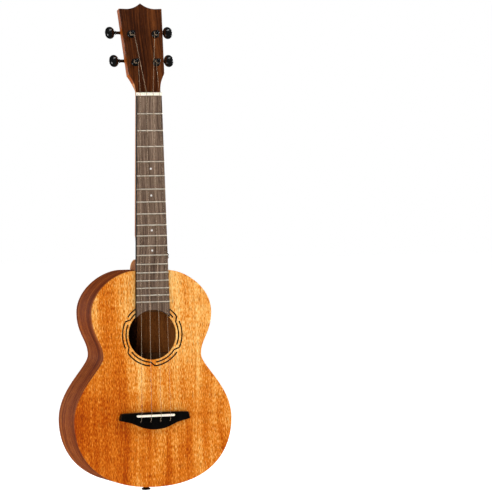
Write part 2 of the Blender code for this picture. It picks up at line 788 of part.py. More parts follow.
def fret_wires_mesh():
    """All the frets' crowns, as oval rods half sunk into the board's face."""
    work = bmesh.new()
    lay_across = Matrix.Rotation(math.radians(90), 4, "Y")
    flatten = Matrix.Diagonal((1, FRET_WIDTH / 2, FRET_HEIGHT, 1))
    for number in range(1, FRET_COUNT + 1):
        z = fret_z(number)
        length = 2 * (board_half_width(z) - GAP)
        place = Matrix.Translation((0, z, -BOARD_FRONT_Y)) @ flatten @ lay_across
        bmesh.ops.create_cone(
            work, cap_ends=True, segments=8, radius1=1, radius2=1, depth=length, matrix=place
        )
    return mesh_from_bmesh("fret_wires", work)


def add_fretboard():
    mesh = flat_mesh("fretboard", [board_outline()], GAP, -BOARD_FRONT_Y)
    board = add_piece("fretboard", mesh, FRONT_FRAME, "fretboard_wood")
    cut(board, add_cutter("fret_wires", fret_wires_mesh(), FRONT_FRAME), "UNION")


# ---------------------------------------------------------------- neck and headstock


def head_half_outline(inset=0.0):
    """Right half of the headstock's face, from the crest down to the nut."""
    crest = bezier((0, CREST_HEIGHT), *CREST_HANDLES, CREST_DIP, 5)
    throat_end = (THROAT_HALF_WIDTH, 0)
    throat = bezier(EAR, *THROAT_HANDLES, throat_end, 6)
    points = [*crest, CREST_DIP, CORNER, *throat, throat_end, (0, 0)]
    return [(max(x - inset, 0) if x else 0, y) for x, y in points]


def post_places():
    """Name, side and place on the headstock's face of each post."""
    places = []
    for row, (x, rise) in POST_ROWS.items():
        for side_name, side in SIDES.items():
            places.append((f"{row}_{side_name}", side, side * x, rise))
    return places


def add_headplate():
    holes = [circle(x, rise, POST_HOLE_RADIUS, 20) for _, _, x, rise in post_places()]
    mesh = flat_mesh("headplate", [mirrored(head_half_outline()), *holes], -VENEER_THICKNESS, 0)
    add_piece("headplate", shade(mesh), HEAD_FRAME, "walnut_veneer")


def neck_ring(z, front, back, half_top, half_bottom, heel):
    """One closed section of the neck at a height.

    A D shape where heel is 0, and a straight-sided V with a flat foot where heel is 1.
    """
    steps = 8
    right = []
    for step in range(steps + 1):
        share = step / steps
        angle = math.radians(90) * share
        round_x = half_top * math.cos(angle) ** SHAFT_ROUNDNESS[0]
        round_y = math.sin(angle) ** SHAFT_ROUNDNESS[1]
        straight_x = half_top + (half_bottom - half_top) * share ** SHAFT_ROUNDNESS[1]
        x = round_x + (straight_x - round_x) * heel
        y = round_y + (share - round_y) * heel
        right.append((x, front + (back - front) * y))
    right.append((right[-1][0] / 2, back))
    left = [(-x, y) for x, y in right[::-1]]
    return [Vector((x, y, z)) for x, y in [*right, (0.0, back), *left]]


def heel_stations():
    """Height, depth, foot half width and heel share of the sections from the body joint up."""
    joint_z = BODY_TOP_Z + GAP
    stations = []
    for step in range(5):
        share = step / 4 * 0.98
        z = joint_z + HEEL_CAP_HEIGHT * share
        foot = HEEL_CAP_HALF_WIDTH * math.sqrt(1 - share * share) - GAP
        stations.append((z, back_y(z) - HEEL_CAP_THICKNESS - GAP, foot, 1.0))
    sweep_z = joint_z + HEEL_CAP_HEIGHT
    tip_y = back_y(sweep_z) - HEEL_CAP_THICKNESS - GAP
    for step in range(1, 11):
        share = step / 10
        angle = math.radians(90) * share
        z = sweep_z + HEEL_SWEEP * (1 - math.cos(angle))
        y = tip_y - (tip_y - NECK_DEPTH_AT_HEEL) * math.sin(angle) ** SHAFT_ROUNDNESS[1]
        stations.append((z, y, HEEL_TIP_HALF_WIDTH * (1 - share), (1 - share) ** 0.7))
    return stations


def neck_rings():
    """All sections of the neck, from the body joint up into the headstock."""
    rings = []
    for z, back, foot, heel in heel_stations():
        rings.append(neck_ring(z, 0.0, back, board_half_width(z) - NECK_UNDER_BOARD, foot, heel))
    start = rings[-1][0].z
    for step in range(1, 9):
        share = step / 8
        z = start + (NUT_Z - start) * share
        back = NECK_DEPTH_AT_HEEL + (NECK_DEPTH_AT_NUT - NECK_DEPTH_AT_HEEL) * share
        rings.append(neck_ring(z, 0.0, back, board_half_width(z) - NECK_UNDER_BOARD, 0.0, 0.0))
    for rise, front, back in NECK_ROOT:
        rings.append(neck_ring(NUT_TOP_Z + rise, front, back, NECK_ROOT_HALF_WIDTH, 0.0, 0.0))
    return rings


def loft(name, rings):
    """Join equal closed rings with quads and close both ends."""
    work = bmesh.new()
    rows = [[work.verts.new(point) for point in ring] for ring in rings]
    count = len(rings[0])
    for lower, upper in zip(rows, rows[1:]):
        for index in range(count):
            after = (index + 1) % count
            work.faces.new((lower[index], lower[after], upper[after], upper[index]))
    work.faces.new(rows[0])
    work.faces.new(rows[-1])
    bmesh.ops.remove_doubles(work, verts=work.verts, dist=1e-6)
    return mesh_from_bmesh(name, work)


def add_neck():
    neck = add_piece("neck", shade(loft("neck", neck_rings())), Matrix.Identity(4), "neck_wood")
    blade_top = -VENEER_THICKNESS - GAP
    blade_loop = mirrored(head_half_outline(WELD))
    blade = flat_mesh("headstock", [blade_loop], -HEAD_THICKNESS, blade_top)
    cut(neck, add_cutter("headstock", blade, HEAD_FRAME), "UNION")
    for name, _, x, rise in post_places():
        bore = cylinder_mesh(f"post_bore_{name}", POST_HOLE_RADIUS, -HEAD_THICKNESS - CLEAR, CLEAR, 20)
        place = HEAD_FRAME @ Matrix.Translation((x, rise, 0))
        cut(neck, add_cutter(f"post_bore_{name}", bore, place))
    seat = cylinder_mesh("strap_seat", STRAP_SEAT_RADIUS, -GAP, CLEAR, 20)
    cut(neck, add_cutter("strap_seat", seat, heel_button_frame()))


def add_heel_cap():
    arc = [math.radians(90) * step / 8 for step in range(9)]
    half = [
        (HEEL_CAP_HALF_WIDTH * math.sin(a), 2 * GAP + HEEL_CAP_HEIGHT * math.cos(a)) for a in arc
    ]
    half.append((0, 2 * GAP))
    mesh = flat_mesh("heel_cap", [mirrored(half)], 0, HEEL_CAP_THICKNESS)
    add_piece("heel_cap", shade(mesh), BACK_FRAME, "heel_cap_wood")


# ---------------------------------------------------------------- strap buttons


def heel_button_frame():
    """Local Z points out of the treble side of the heel, square to its flank."""
    level = math.cos(HEEL_BUTTON_TILT)
    across = level * math.cos(HEEL_BUTTON_ANGLE)
    back = level * math.sin(HEEL_BUTTON_ANGLE)
    out = Vector((across, back, math.sin(HEEL_BUTTON_TILT)))
    place = Vector((*HEEL_BUTTON_PLACE, BODY_TOP_Z + HEEL_BUTTON_RISE))
    return Matrix.Translation(place) @ out.to_track_quat("Z", "Y").to_matrix().to_4x4()


def tail_button_frame():
    middle = back_y(BODY_BOTTOM_Z) / 2
    place = Vector((0, middle, BODY_BOTTOM_Z - GAP))
    return Matrix.Translation(place) @ Matrix.Rotation(math.pi, 4, "X")


def add_strap_buttons():
    heel = turned_mesh("strap_button_heel", HEEL_BUTTON_PROFILE)
    tail = turned_mesh("strap_button_tail", TAIL_BUTTON_PROFILE)
    turn(add_piece("strap_button_heel", heel, heel_button_frame(), "chrome"), 16)
    turn(add_piece("strap_button_tail", tail, tail_button_frame(), "black_metal"), 16)


# ---------------------------------------------------------------- tuners


# A lug's local X and Y are the plate's Y and Z, and its local Z runs along the worm's shaft
LUG_FRAME = Matrix(((0, 0, 1, 0), (1, 0, 0, 0), (0, 1, 0, 0), (0, 0, 0, 1)))


def lug_outline():
    """An arch round the worm's shaft, with its feet sunk into the plate."""
    foot = -GAP - PLATE_METAL / 2
    middle = -WORM_DEPTH - GAP
    angles = [math.pi * (1 + step / 10) for step in range(11)]
    arch = [(WORM_RISE + LUG_RADIUS * math.cos(a), middle + LUG_RADIUS * math.sin(a)) for a in angles]
    return [*arch, (WORM_RISE + LUG_RADIUS, foot), (WORM_RISE - LUG_RADIUS, foot)]


def add_plate(name, back_frame):
    """One flat plate with two bored lugs that carry the worm's shaft."""
    loops = [mirrored(PLATE_HALF_OUTLINE), circle(0, 0, PLATE_BORE_RADIUS, 16)]
    mesh = flat_mesh(f"tuner_plate_{name}", loops, -PLATE_METAL - GAP, -GAP)
    plate = add_piece(f"tuner_plate_{name}", mesh, Matrix.Identity(4), "black_metal", back_frame)
    for end in (-1, 1):
        near, far = sorted(end * (LUG_INSET + share * LUG_THICKNESS) for share in (-0.5, 0.5))
        lug = flat_mesh(f"lug_{name}_{end}", [lug_outline()], near, far)
        cut(plate, add_cutter(f"lug_{name}_{end}", lug, LUG_FRAME, back_frame), "UNION")
    across = Matrix.Rotation(math.radians(90), 4, "Y")
    bore = cylinder_mesh(f"worm_bore_{name}", WORM_ROOT_RADIUS + GAP, -CLEAR, CLEAR, 12)
    place = Matrix.Translation((0, WORM_RISE, -WORM_DEPTH - GAP)) @ across
    cut(plate, add_cutter(f"worm_bore_{name}", bore, place, back_frame))


def bushing_mesh():
    inner = POST_RADIUS + GAP
    sleeve = POST_HOLE_RADIUS - GAP
    profile = [
        (inner, BUSHING_HEIGHT),
        (BUSHING_RIM_RADIUS, BUSHING_HEIGHT),
        (BUSHING_FLANGE_RADIUS, BUSHING_HEIGHT - 2 * GAP),
        (BUSHING_FLANGE_RADIUS, GAP),
        (sleeve, GAP),
        (sleeve, -BUSHING_DEPTH),
        (inner, -BUSHING_DEPTH),
    ]
    return turned_mesh("bushing", profile, closed=True)


def post_mesh():
    """The post from its rounded top to its hub, with a blind hole for the gear's screw."""
    hub_end = -HEAD_THICKNESS - (WORM_DEPTH - GEAR_THICKNESS / 2)
    profile = [
        (0, POST_HEIGHT),
        (0.0018, POST_HEIGHT - 0.0002),
        (0.0027, POST_HEIGHT - 0.0009),
        (POST_RADIUS, POST_HEIGHT - 0.0018),
        (POST_RADIUS, POST_HEIGHT - 0.0028),
        (POST_WAIST_RADIUS, POST_WAIST_HEIGHT + 0.0012),
        (POST_WAIST_RADIUS, POST_WAIST_HEIGHT - 0.0012),
        (POST_RADIUS, POST_WAIST_HEIGHT - 0.0025),
        (POST_RADIUS, hub_end),
        (HUB_BORE_RADIUS, hub_end),
        (HUB_BORE_RADIUS, hub_end + HUB_BORE_DEPTH),
        (0, hub_end + HUB_BORE_DEPTH),
    ]
    return turned_mesh("post", profile)


def gear_mesh():
    """A toothed wheel with a tooth pointing along local Y, towards the worm."""
    loop = []
    rim = [(GEAR_ROOT_RADIUS, TOOTH_HALF_WIDTH_AT_ROOT), (GEAR_TIP_RADIUS, TOOTH_HALF_WIDTH_AT_TIP)]
    for tooth in range(GEAR_TEETH):
        middle = math.radians(90) - math.tau * tooth / GEAR_TEETH
        flanks = [(r, -w / r) for r, w in rim] + [(r, w / r) for r, w in rim[::-1]]
        for radius, offset in flanks:
            angle = middle - offset
            loop.append((radius * math.cos(angle), radius * math.sin(angle)))
    bore = circle(0, 0, HUB_BORE_RADIUS, 12)
    return flat_mesh("gear", [loop, bore], -GEAR_THICKNESS / 2, GEAR_THICKNESS / 2)


def gear_screw_mesh():
    """Head behind the gear and a shank that enters the post."""
    seat = -WORM_DEPTH - GEAR_THICKNESS / 2 - 2 * GAP
    profile = [
        (0, 0),
        (SCREW_SHANK_RADIUS, 0),
        (SCREW_SHANK_RADIUS, seat),
        (SCREW_HEAD_RADIUS - 0.0002, seat),
        (SCREW_HEAD_RADIUS, seat - SCREW_HEAD_HEIGHT / 2),
        (SCREW_HEAD_RADIUS - 0.0004, seat - SCREW_HEAD_HEIGHT),
        (0, seat - SCREW_HEAD_HEIGHT),
    ]
    return turned_mesh("gear_screw", profile)


def worm_thread_mesh():
    """A right-handed screw thread about local Z whose turns straddle the gear's facing tooth."""
    steps = 8
    root, tip = THREAD_HALF_WIDTH_AT_ROOT, THREAD_HALF_WIDTH_AT_TIP
    start, crest = WORM_ROOT_RADIUS - 2 * WELD, WORM_TIP_RADIUS
    section = [(start, -root), (crest, -tip), (crest, tip), (start, root)]
    rings = []
    for step in range(WORM_TURNS * steps + 1):
        turns = step / steps - WORM_TURNS / 2
        angle = math.tau * turns + math.radians(90)
        rise = TOOTH_PITCH * turns
        ring = [Vector((r * math.cos(angle), r * math.sin(angle), rise + h)) for r, h in section]
        rings.append(ring)
    return loft("worm_thread", rings)


def worm_shaft_profile():
    """From the end inside the button, over the thick sleeve, to the inner end past its lug."""
    outer = BUTTON_OUT - SHAFT_IN_BUTTON
    sleeve_low, sleeve_high = SLEEVE_REACH
    return [
        (0, outer),
        (WORM_ROOT_RADIUS - SHAFT_CHAMFER, outer),
        (WORM_ROOT_RADIUS, outer - SHAFT_CHAMFER),
        (WORM_ROOT_RADIUS, sleeve_high),
        (SLEEVE_RADIUS, sleeve_high),
        (SLEEVE_RADIUS, sleeve_low),
        (WORM_ROOT_RADIUS, sleeve_low),
        (WORM_ROOT_RADIUS, SHAFT_INNER_END),
        (0, SHAFT_INNER_END),
    ]


def button_mesh():
    """A flattened oval button, its thickness along local X and its length along local Z."""
    work = bmesh.new()
    bmesh.ops.create_uvsphere(work, u_segments=14, v_segments=8, radius=0.5)
    size = (BUTTON_THICKNESS, BUTTON_WIDTH, BUTTON_LENGTH)
    bmesh.ops.scale(work, vec=size, verts=work.verts)
    bmesh.ops.translate(work, vec=(0, 0, BUTTON_OUT), verts=work.verts)
    return mesh_from_bmesh("button", work)


def add_empty(name, frame, parent=None):
    empty = bpy.data.objects.new(name, None)
    PARTS.objects.link(empty)
    empty.parent = parent
    empty.matrix_local = frame
    return empty


def add_post(name, axis, shapes):
    """The bushing and the post, about local Z of the post's axis."""
    identity = Matrix.Identity(4)
    turn(add_piece(f"bushing_{name}", shapes["bushing"], identity, "black_metal", axis), 16)
    post = turn(add_piece(f"post_{name}", shapes["post"], identity, "black_metal", axis), 16)
    across = Matrix.Rotation(math.radians(90), 4, "Y")
    place = Matrix.Translation((0, 0, POST_WAIST_HEIGHT)) @ across
    cut(post, add_cutter(f"string_bore_{name}", shapes["string_bore"], place, axis))


def add_gear(name, back, shapes):
    place = Matrix.Translation((0, 0, -WORM_DEPTH - GAP))
    add_piece(f"gear_{name}", shapes["gear"], place, "gear_brass", back)
    screw = add_piece(f"gear_screw_{name}", shapes["gear_screw"], Matrix.Identity(4), "black_metal", back)
    turn(screw, 12)


def add_worm(name, side, back, shapes):
    """The worm on its shaft and the button, about local Z of a frame set across the headstock."""
    identity = Matrix.Identity(4)
    outwards = Matrix.Rotation(math.radians(90) * side, 4, "Y")
    place = Matrix.Translation((0, WORM_RISE, -WORM_DEPTH - GAP)) @ outwards
    axis = add_empty(f"worm_axis_{name}", place, back)
    shaft = turn(add_piece(f"worm_shaft_{name}", shapes["shaft"], identity, "black_metal", axis), 12)
    cut(shaft, add_cutter(f"thread_{name}", shapes["thread"], identity, axis), "UNION")
    button = add_piece(f"button_{name}", shapes["button"], identity, "button_plastic", axis)
    cut(button, add_cutter(f"collar_{name}", shapes["collar"], identity, axis), "UNION")
    cut(button, add_cutter(f"socket_{name}", shapes["socket"], identity, axis))


def tuner_shapes():
    """The meshes that the four tuners share, each drawn once about its own axis."""
    inside_button = BUTTON_OUT - BUTTON_SOCKET_END
    collar_low = BUTTON_OUT - BUTTON_COLLAR_START
    reach = POST_RADIUS * 2
    return {
        "bushing": bushing_mesh(),
        "post": post_mesh(),
        "gear": gear_mesh(),
        "gear_screw": gear_screw_mesh(),
        "thread": worm_thread_mesh(),
        "shaft": turned_mesh("worm_shaft", worm_shaft_profile()),
        "button": button_mesh(),
        "socket": cylinder_mesh("button_socket", WORM_ROOT_RADIUS + GAP, 0, inside_button, 12),
        "collar": cylinder_mesh("button_collar", BUTTON_COLLAR_RADIUS, collar_low, inside_button, 12),
        "string_bore": cylinder_mesh("string_bore", STRING_BORE_RADIUS, -reach, reach, 8),
    }


def add_tuners():
    shapes = tuner_shapes()
    for name, side, x, rise in post_places():
        axis = add_empty(f"post_axis_{name}", HEAD_FRAME @ Matrix.Translation((x, rise, 0)))
        back = add_empty(f"tuner_{name}", Matrix.Translation((0, 0, -HEAD_THICKNESS)), axis)
        add_plate(name, back)
        add_post(name, axis, shapes)
        add_gear(name, back, shapes)
        add_worm(name, side, back, shapes)


def main():
    add_soundboard()
    add_back_plate()
    add_sides_and_linings()
    add_blocks()
    add_top_braces()
    add_back_braces()
    add_bridge_patch()
    add_bridge()
    add_saddle()
    add_neck()
    add_heel_cap()
    add_headplate()
    add_fretboard()
    add_nut()
    add_strings()
    add_strap_buttons()
    add_tuners()
    bpy.context.view_layer.update()


main()
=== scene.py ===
"""Tenor ukulele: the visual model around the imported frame.

Metres, in the CAD's own frame. Seen from the front, +X is to the right, +Y goes from the
soundboard to the back and +Z runs up the neck. Flat pieces are drawn in a local frame whose X
and Y lie in the piece's plane and whose Z points to the front.
"""

import json
from math import acos, atan, copysign, cos, degrees, dist, pi, radians, sin, sqrt, tan, tau

import bmesh
import bpy
from mathutils import Matrix, Vector


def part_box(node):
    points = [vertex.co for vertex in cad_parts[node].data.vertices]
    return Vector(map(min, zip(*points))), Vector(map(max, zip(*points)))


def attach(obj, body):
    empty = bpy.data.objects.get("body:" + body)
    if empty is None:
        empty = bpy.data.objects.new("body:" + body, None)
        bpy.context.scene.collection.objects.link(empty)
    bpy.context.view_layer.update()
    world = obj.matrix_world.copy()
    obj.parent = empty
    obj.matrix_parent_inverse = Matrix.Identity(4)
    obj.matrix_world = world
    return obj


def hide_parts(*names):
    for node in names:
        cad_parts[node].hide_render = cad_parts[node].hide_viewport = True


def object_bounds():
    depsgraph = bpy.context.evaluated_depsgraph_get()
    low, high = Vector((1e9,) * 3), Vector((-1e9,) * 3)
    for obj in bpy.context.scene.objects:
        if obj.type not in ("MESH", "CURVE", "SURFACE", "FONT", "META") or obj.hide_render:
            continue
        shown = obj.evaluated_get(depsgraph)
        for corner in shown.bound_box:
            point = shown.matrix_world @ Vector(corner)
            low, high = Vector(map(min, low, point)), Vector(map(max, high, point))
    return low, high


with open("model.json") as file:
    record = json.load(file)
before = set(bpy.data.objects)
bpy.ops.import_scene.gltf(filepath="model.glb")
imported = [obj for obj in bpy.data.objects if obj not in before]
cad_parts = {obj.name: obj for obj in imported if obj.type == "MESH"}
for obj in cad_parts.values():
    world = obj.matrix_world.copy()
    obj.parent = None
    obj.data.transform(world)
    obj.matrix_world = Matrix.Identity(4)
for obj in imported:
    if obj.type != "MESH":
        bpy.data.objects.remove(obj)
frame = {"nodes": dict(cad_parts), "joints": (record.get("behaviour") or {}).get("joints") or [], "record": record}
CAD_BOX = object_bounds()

ROOT = "instrument"
GAP = 0.0003
QUARTER = radians(90)


def shift(x, y, z=0.0):
    return Matrix.Translation((x, y, z))


def spin(angle, axis):
    return Matrix.Rotation(angle, 4, axis)


# ---- places from the frame

TOP_LOW, TOP_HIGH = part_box("soundboard")
BODY_TOP = TOP_HIGH.z
BODY_BOTTOM = TOP_LOW.z
PLATE = TOP_HIGH.y - TOP_LOW.y
DEPTH_AT_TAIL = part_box("back_plate")[1].y
DEPTH_AT_TOP = 0.072
TAPER = atan((DEPTH_AT_TAIL - DEPTH_AT_TOP) / (BODY_TOP - BODY_BOTTOM))
RIB = 0.0018

# The body's outline: bouts as half widths and distances below its top edge, then curve handles
JOINT_FLAT = 0.022
UPPER_BOUT = (0.0854, 0.0570)
WAIST = (0.0697, 0.1155)
LOWER_BOUT = (TOP_HIGH.x, 0.2035)
SHOULDER_HANDLES = (0.028, 0.031)
FLANK_HANDLES = (0.030, 0.020)
HIP_HANDLES = (0.017, 0.043)
TAIL_HANDLES = (0.046, 0.082)

NUT_LOW, NUT_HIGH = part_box("nut")
NUT_Z = NUT_LOW.z - GAP
NUT_TOP = NUT_HIGH.z + GAP
SCALE_LENGTH = 0.4318
FRET_COUNT = 18
BODY_FRET = 14
BOARD_FRONT = -0.0055
BOARD_HALF_AT_BODY = 0.023
BOARD_END_RADIUS = 0.0337
HOLE_Z = NUT_Z - 0.3239
HOLE_RADIUS = 0.0339

SADDLE_LOW, SADDLE_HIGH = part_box("saddle")
SADDLE_Z = (SADDLE_LOW.z + SADDLE_HIGH.z) / 2
SADDLE_HALF = (SADDLE_HIGH.z - SADDLE_LOW.z) / 2
STRING_HOLE_Z = SADDLE_Z - 0.009
BRIDGE_FACE = 0.0078

STRING_RADII = {"g": 0.00035, "c": 0.00045, "e": 0.0004, "a": 0.0003}
NUT_SPACING = 0.0092
SADDLE_SPACING = 0.0137

HEAD_TILT = radians(14)
HEAD_THICKNESS = 0.013
VENEER = 0.0015
POST_BORE = 0.0045
CREST = 0.1263
CREST_HANDLES = ((0.0045, 0.1225), (0.0110, 0.1184))
CREST_DIP = (0.0205, 0.1182)
CORNER = (0.0303, 0.1186)
EAR = (0.0254, 0.0268)
THROAT_HANDLES = ((0.0224, 0.0203), (0.0175, 0.0138))
THROAT_FOOT = (0.0174, 0)

FRONT = spin(QUARTER, "X")
HEAD = shift(0, -0.001, NUT_TOP) @ spin(QUARTER - HEAD_TILT, "X")
BACK = shift(0, DEPTH_AT_TOP, BODY_TOP) @ spin(QUARTER + TAPER, "X")


def fret_z(number):
    """Height of a fret; fret 0 is the nut's lower face."""
    return NUT_Z - SCALE_LENGTH * (1 - 2 ** (-number / 12))


def back_y(z):
    """Depth of the back's outer face at a height."""
    return DEPTH_AT_TOP + tan(TAPER) * (BODY_TOP - z)


def board_half(z):
    """Half width of the fretboard at a height."""
    fall = (NUT_Z - z) / (NUT_Z - fret_z(BODY_FRET))
    return NUT_HIGH.x + (BOARD_HALF_AT_BODY - NUT_HIGH.x) * fall


# ---- shader nodes


def srgb(red, green, blue):
    """Linear colour of a display colour given in 0 to 255."""
    linear = [((c / 255 + 0.055) / 1.055) ** 2.4 if c > 10 else c / 3294.6 for c in (red, green, blue)]
    return (*linear, 1.0)


class Nodes:
    """The node tree of a material or the world, with short calls that add to it."""

    def __init__(self, owner, last, **inputs):
        self.owner = owner
        owner.use_nodes = True
        self.tree = owner.node_tree
        self.last = self.tree.nodes[last]
        self.set(self.last, inputs)

    def set(self, node, inputs):
        for key, value in inputs.items():
            socket = node.inputs[key if isinstance(key, int) else key.replace("_", " ")]
            if isinstance(value, bpy.types.NodeSocket):
                self.tree.links.new(value, socket)
            else:
                socket.default_value = value

    def add(self, kind, inputs, output=0, **settings):
        node = self.tree.nodes.new("ShaderNode" + kind)
        for key, value in settings.items():
            setattr(node, key, value)
        self.set(node, inputs)
        return node.outputs[output]

    def place(self, attribute=None):
        """Where a point is: in the row frame, or along the grain of a bent piece."""
        if attribute:
            return self.add("Attribute", {}, "Vector", attribute_name=attribute)
        return self.add("TexCoord", {}, "Object")

    def noise(self, vector, scale, detail=3.0, roughness=0.5, distortion=0.0):
        """Noise in cells per metre, with one scale or a scale for each axis."""
        if isinstance(scale, tuple):
            vector = self.add("Mapping", {"Vector": vector, "Scale": scale})
            scale = 1.0
        inputs = {"Vector": vector, "Scale": scale, "Detail": detail}
        inputs |= {"Roughness": roughness, "Distortion": distortion}
        return self.add("TexNoise", inputs, "Fac")

    def math(self, operation, first, second=0.0, third=0.0):
        return self.add("Math", {0: first, 1: second, 2: third}, operation=operation)

    def linear(self, value, gain, offset):
        return self.math("MULTIPLY_ADD", value, gain, offset)

    def steps(self, value, low, high, to_low=0.0, to_high=1.0):
        """Remap a value from one range to another, with smooth ends."""
        inputs = {0: value, 1: low, 2: high, 3: to_low, 4: to_high}
        return self.add("MapRange", inputs, interpolation_type="SMOOTHSTEP")

    def ramp(self, value, stops):
        """Colours by value; each stop is its position and a display colour."""
        output = self.add("ValToRGB", {0: value})
        points = output.node.color_ramp.elements
        while len(points) < len(stops):
            points.new(0.5)
        for point, (position, *colour) in zip(points, stops):
            point.position = position
            point.color = srgb(*colour)
        return output

    def mix(self, share, first, second):
        return self.add("Mix", {0: share, 6: first, 7: second}, 2, data_type="RGBA")

    def finish(self, colour, roughness, height, strength, distance=0.0001):
        inputs = {"Height": height, "Strength": strength, "Distance": distance}
        bump = self.add("Bump", inputs, "Normal")
        self.set(self.last, {"Base_Color": colour, "Roughness": roughness, "Normal": bump})
        return self.owner


def shader(name, **inputs):
    return Nodes(bpy.data.materials.new(name), "Principled BSDF", **inputs)


# Each layer of a wood's figure: cells per metre across and along the grain, octaves, roughness
BANDS = (42, 3.2, 2.0, 0.5)
PATCHES = (24, 15, 2.0, 0.5)
RIPPLE = (45, 120, 1.0, 0.5)
STREAKS = (330, 13, 3.0, 0.6)
FLECKS = (900, 330, 1.0, 0.5)
PORES = (1700, 120, 1.0, 0.5)
LAYERS = (BANDS, PATCHES, RIPPLE, STREAKS, FLECKS)
# How far the grain wanders across itself in metres, and the noise at which pores open and are full
WANDER = 0.026
PORE_EDGES = (0.56, 0.68)


def wood(
    name, gains, roughness, *stops, pores=0.4, sheen=0.25, scale=1.0, run=1.0, trend=None, attribute=None,
    bookmatch=False, lean=0.0,
):
    """Finished wood with its grain along Z.

    gains are the strengths of LAYERS. stops are the colours from dark to light by tone, around
    a middle of 0.5. scale and run are the figure's fineness across and along the grain. trend
    is ((x low, x high, change), (z low, z high, change), edge loss): how the tone drifts over a
    large plate, partly the wood's own tone and partly painted light and shade, as noted at each
    material. lean is how far the grain leans back from Z.
    """
    made = shader(name, Specular_IOR_Level=sheen)
    place = made.place(attribute)
    x, y, z = (made.add("SeparateXYZ", {0: place}, axis) for axis in range(3))
    if lean:
        place = made.add("Mapping", {"Vector": place, "Rotation": (lean, 0, 0)})
    if bookmatch:
        place = made.add("CombineXYZ", {0: made.math("ABSOLUTE", x), 1: y, 2: z})
    wander = made.math("MULTIPLY", made.noise(place, (11, 11, 6), 1.0), WANDER)
    waver = made.add("CombineXYZ", {0: wander})
    place = made.add("VectorMath", {0: place, 1: waver}, operation="ADD")

    def layer(across, along, detail, rough):
        across, along = across * scale, along * scale * run
        return made.noise(place, (across, across, along), detail, rough)

    tone = 0.5
    for kind, gain in zip(LAYERS, gains):
        if gain:
            value = layer(*kind)
            tone = made.linear(made.math("SUBTRACT", value, 0.5), gain, tone)
            if kind is STREAKS:
                streaks = value
    # The drifts and the edge loss paint light and shade in part; see each material's trend.
    if trend:
        *drifts, loss = trend
        for along, (low, high, change) in zip((x, z), drifts):
            tone = made.math("ADD", tone, made.steps(along, low, high, -change, change))
        half = drifts[0][1]
        edge = made.steps(made.math("ABSOLUTE", x), half * 0.6, half * 1.1, 0.0, loss)
        tone = made.math("SUBTRACT", tone, edge)
    colour = made.ramp(tone, stops)
    pore = made.steps(layer(*PORES), *PORE_EDGES)
    dark = (*(c * 0.4 for c in srgb(*stops[0][1:])[:3]), 1.0)
    colour = made.mix(made.math("MULTIPLY", pore, pores), colour, dark)
    height = made.math("SUBTRACT", made.math("MULTIPLY", streaks, 0.35), pore)
    shine = made.linear(streaks, 0.16, roughness - 0.08)
    return made.finish(colour, made.linear(pore, 0.15, shine), height, 0.14, 0.00025)


def fine_surface(name, base, worn, roughness, metallic=0.0, grain=900, bump=0.05, **inputs):
    """A moulded, cast or plated surface with faint mottling, wear and micro texture."""
    made = shader(name, Metallic=metallic, **inputs)
    place = made.place()
    cloud = made.noise(place, 140)
    micro = made.noise(place, grain, 4.0, 0.65)
    colour = made.mix(made.steps(cloud, 0.35, 0.72), srgb(*base), srgb(*worn))
    shine = made.linear(cloud, 0.12, made.linear(micro, 0.10, roughness - 0.11))
    return made.finish(colour, shine, micro, bump)


def brushed_metal(name, base, worn, roughness, metallic):
    """Plated or polished wire with fine marks along X."""
    made = shader(name, Metallic=metallic)
    place = made.place()
    marks = made.noise(place, (60, 2600, 2600))
    stain = made.noise(place, 230)
    colour = made.mix(made.steps(stain, 0.4, 0.75), srgb(*base), srgb(*worn))
    return made.finish(colour, made.linear(marks, 0.16, roughness - 0.08), marks, 0.06)


def nylon():
    """Clear fluorocarbon line, slightly milky, that lets what is behind it show through."""
    made = shader("string_line", Alpha=0.25, IOR=1.42, Specular_IOR_Level=0.3)
    haze = made.noise(made.place(), (900, 900, 60), 2.0)
    colour = made.mix(haze, srgb(204, 180, 152), srgb(176, 150, 122))
    return made.finish(colour, made.linear(haze, 0.12, 0.10), haze, 0.05)


def bone():
    """Cream moulded nut stock with a faint cloud."""
    made = shader("cream_nut_stock", Subsurface_Weight=0.12, Subsurface_Scale=0.001)
    place = made.place()
    cloud = made.noise(place, (120, 300, 300))
    micro = made.noise(place, 1500)
    colour = made.mix(cloud, srgb(254, 248, 234), srgb(244, 232, 210))
    return made.finish(colour, made.linear(micro, 0.15, 0.27), micro, 0.06)


def pearl():
    """Position dots with a soft cloudy sheen."""
    made = shader("pearl_dot", Coat_Weight=0.6, Coat_Roughness=0.08)
    cloud = made.noise(made.place(), 900, 3.0, 0.6, 1.5)
    colour = made.ramp(cloud, ((0.3, 196, 202, 202), (0.5, 228, 222, 212), (0.7, 212, 194, 200)))
    return made.finish(colour, made.linear(cloud, 0.2, 0.15), cloud, 0.04)


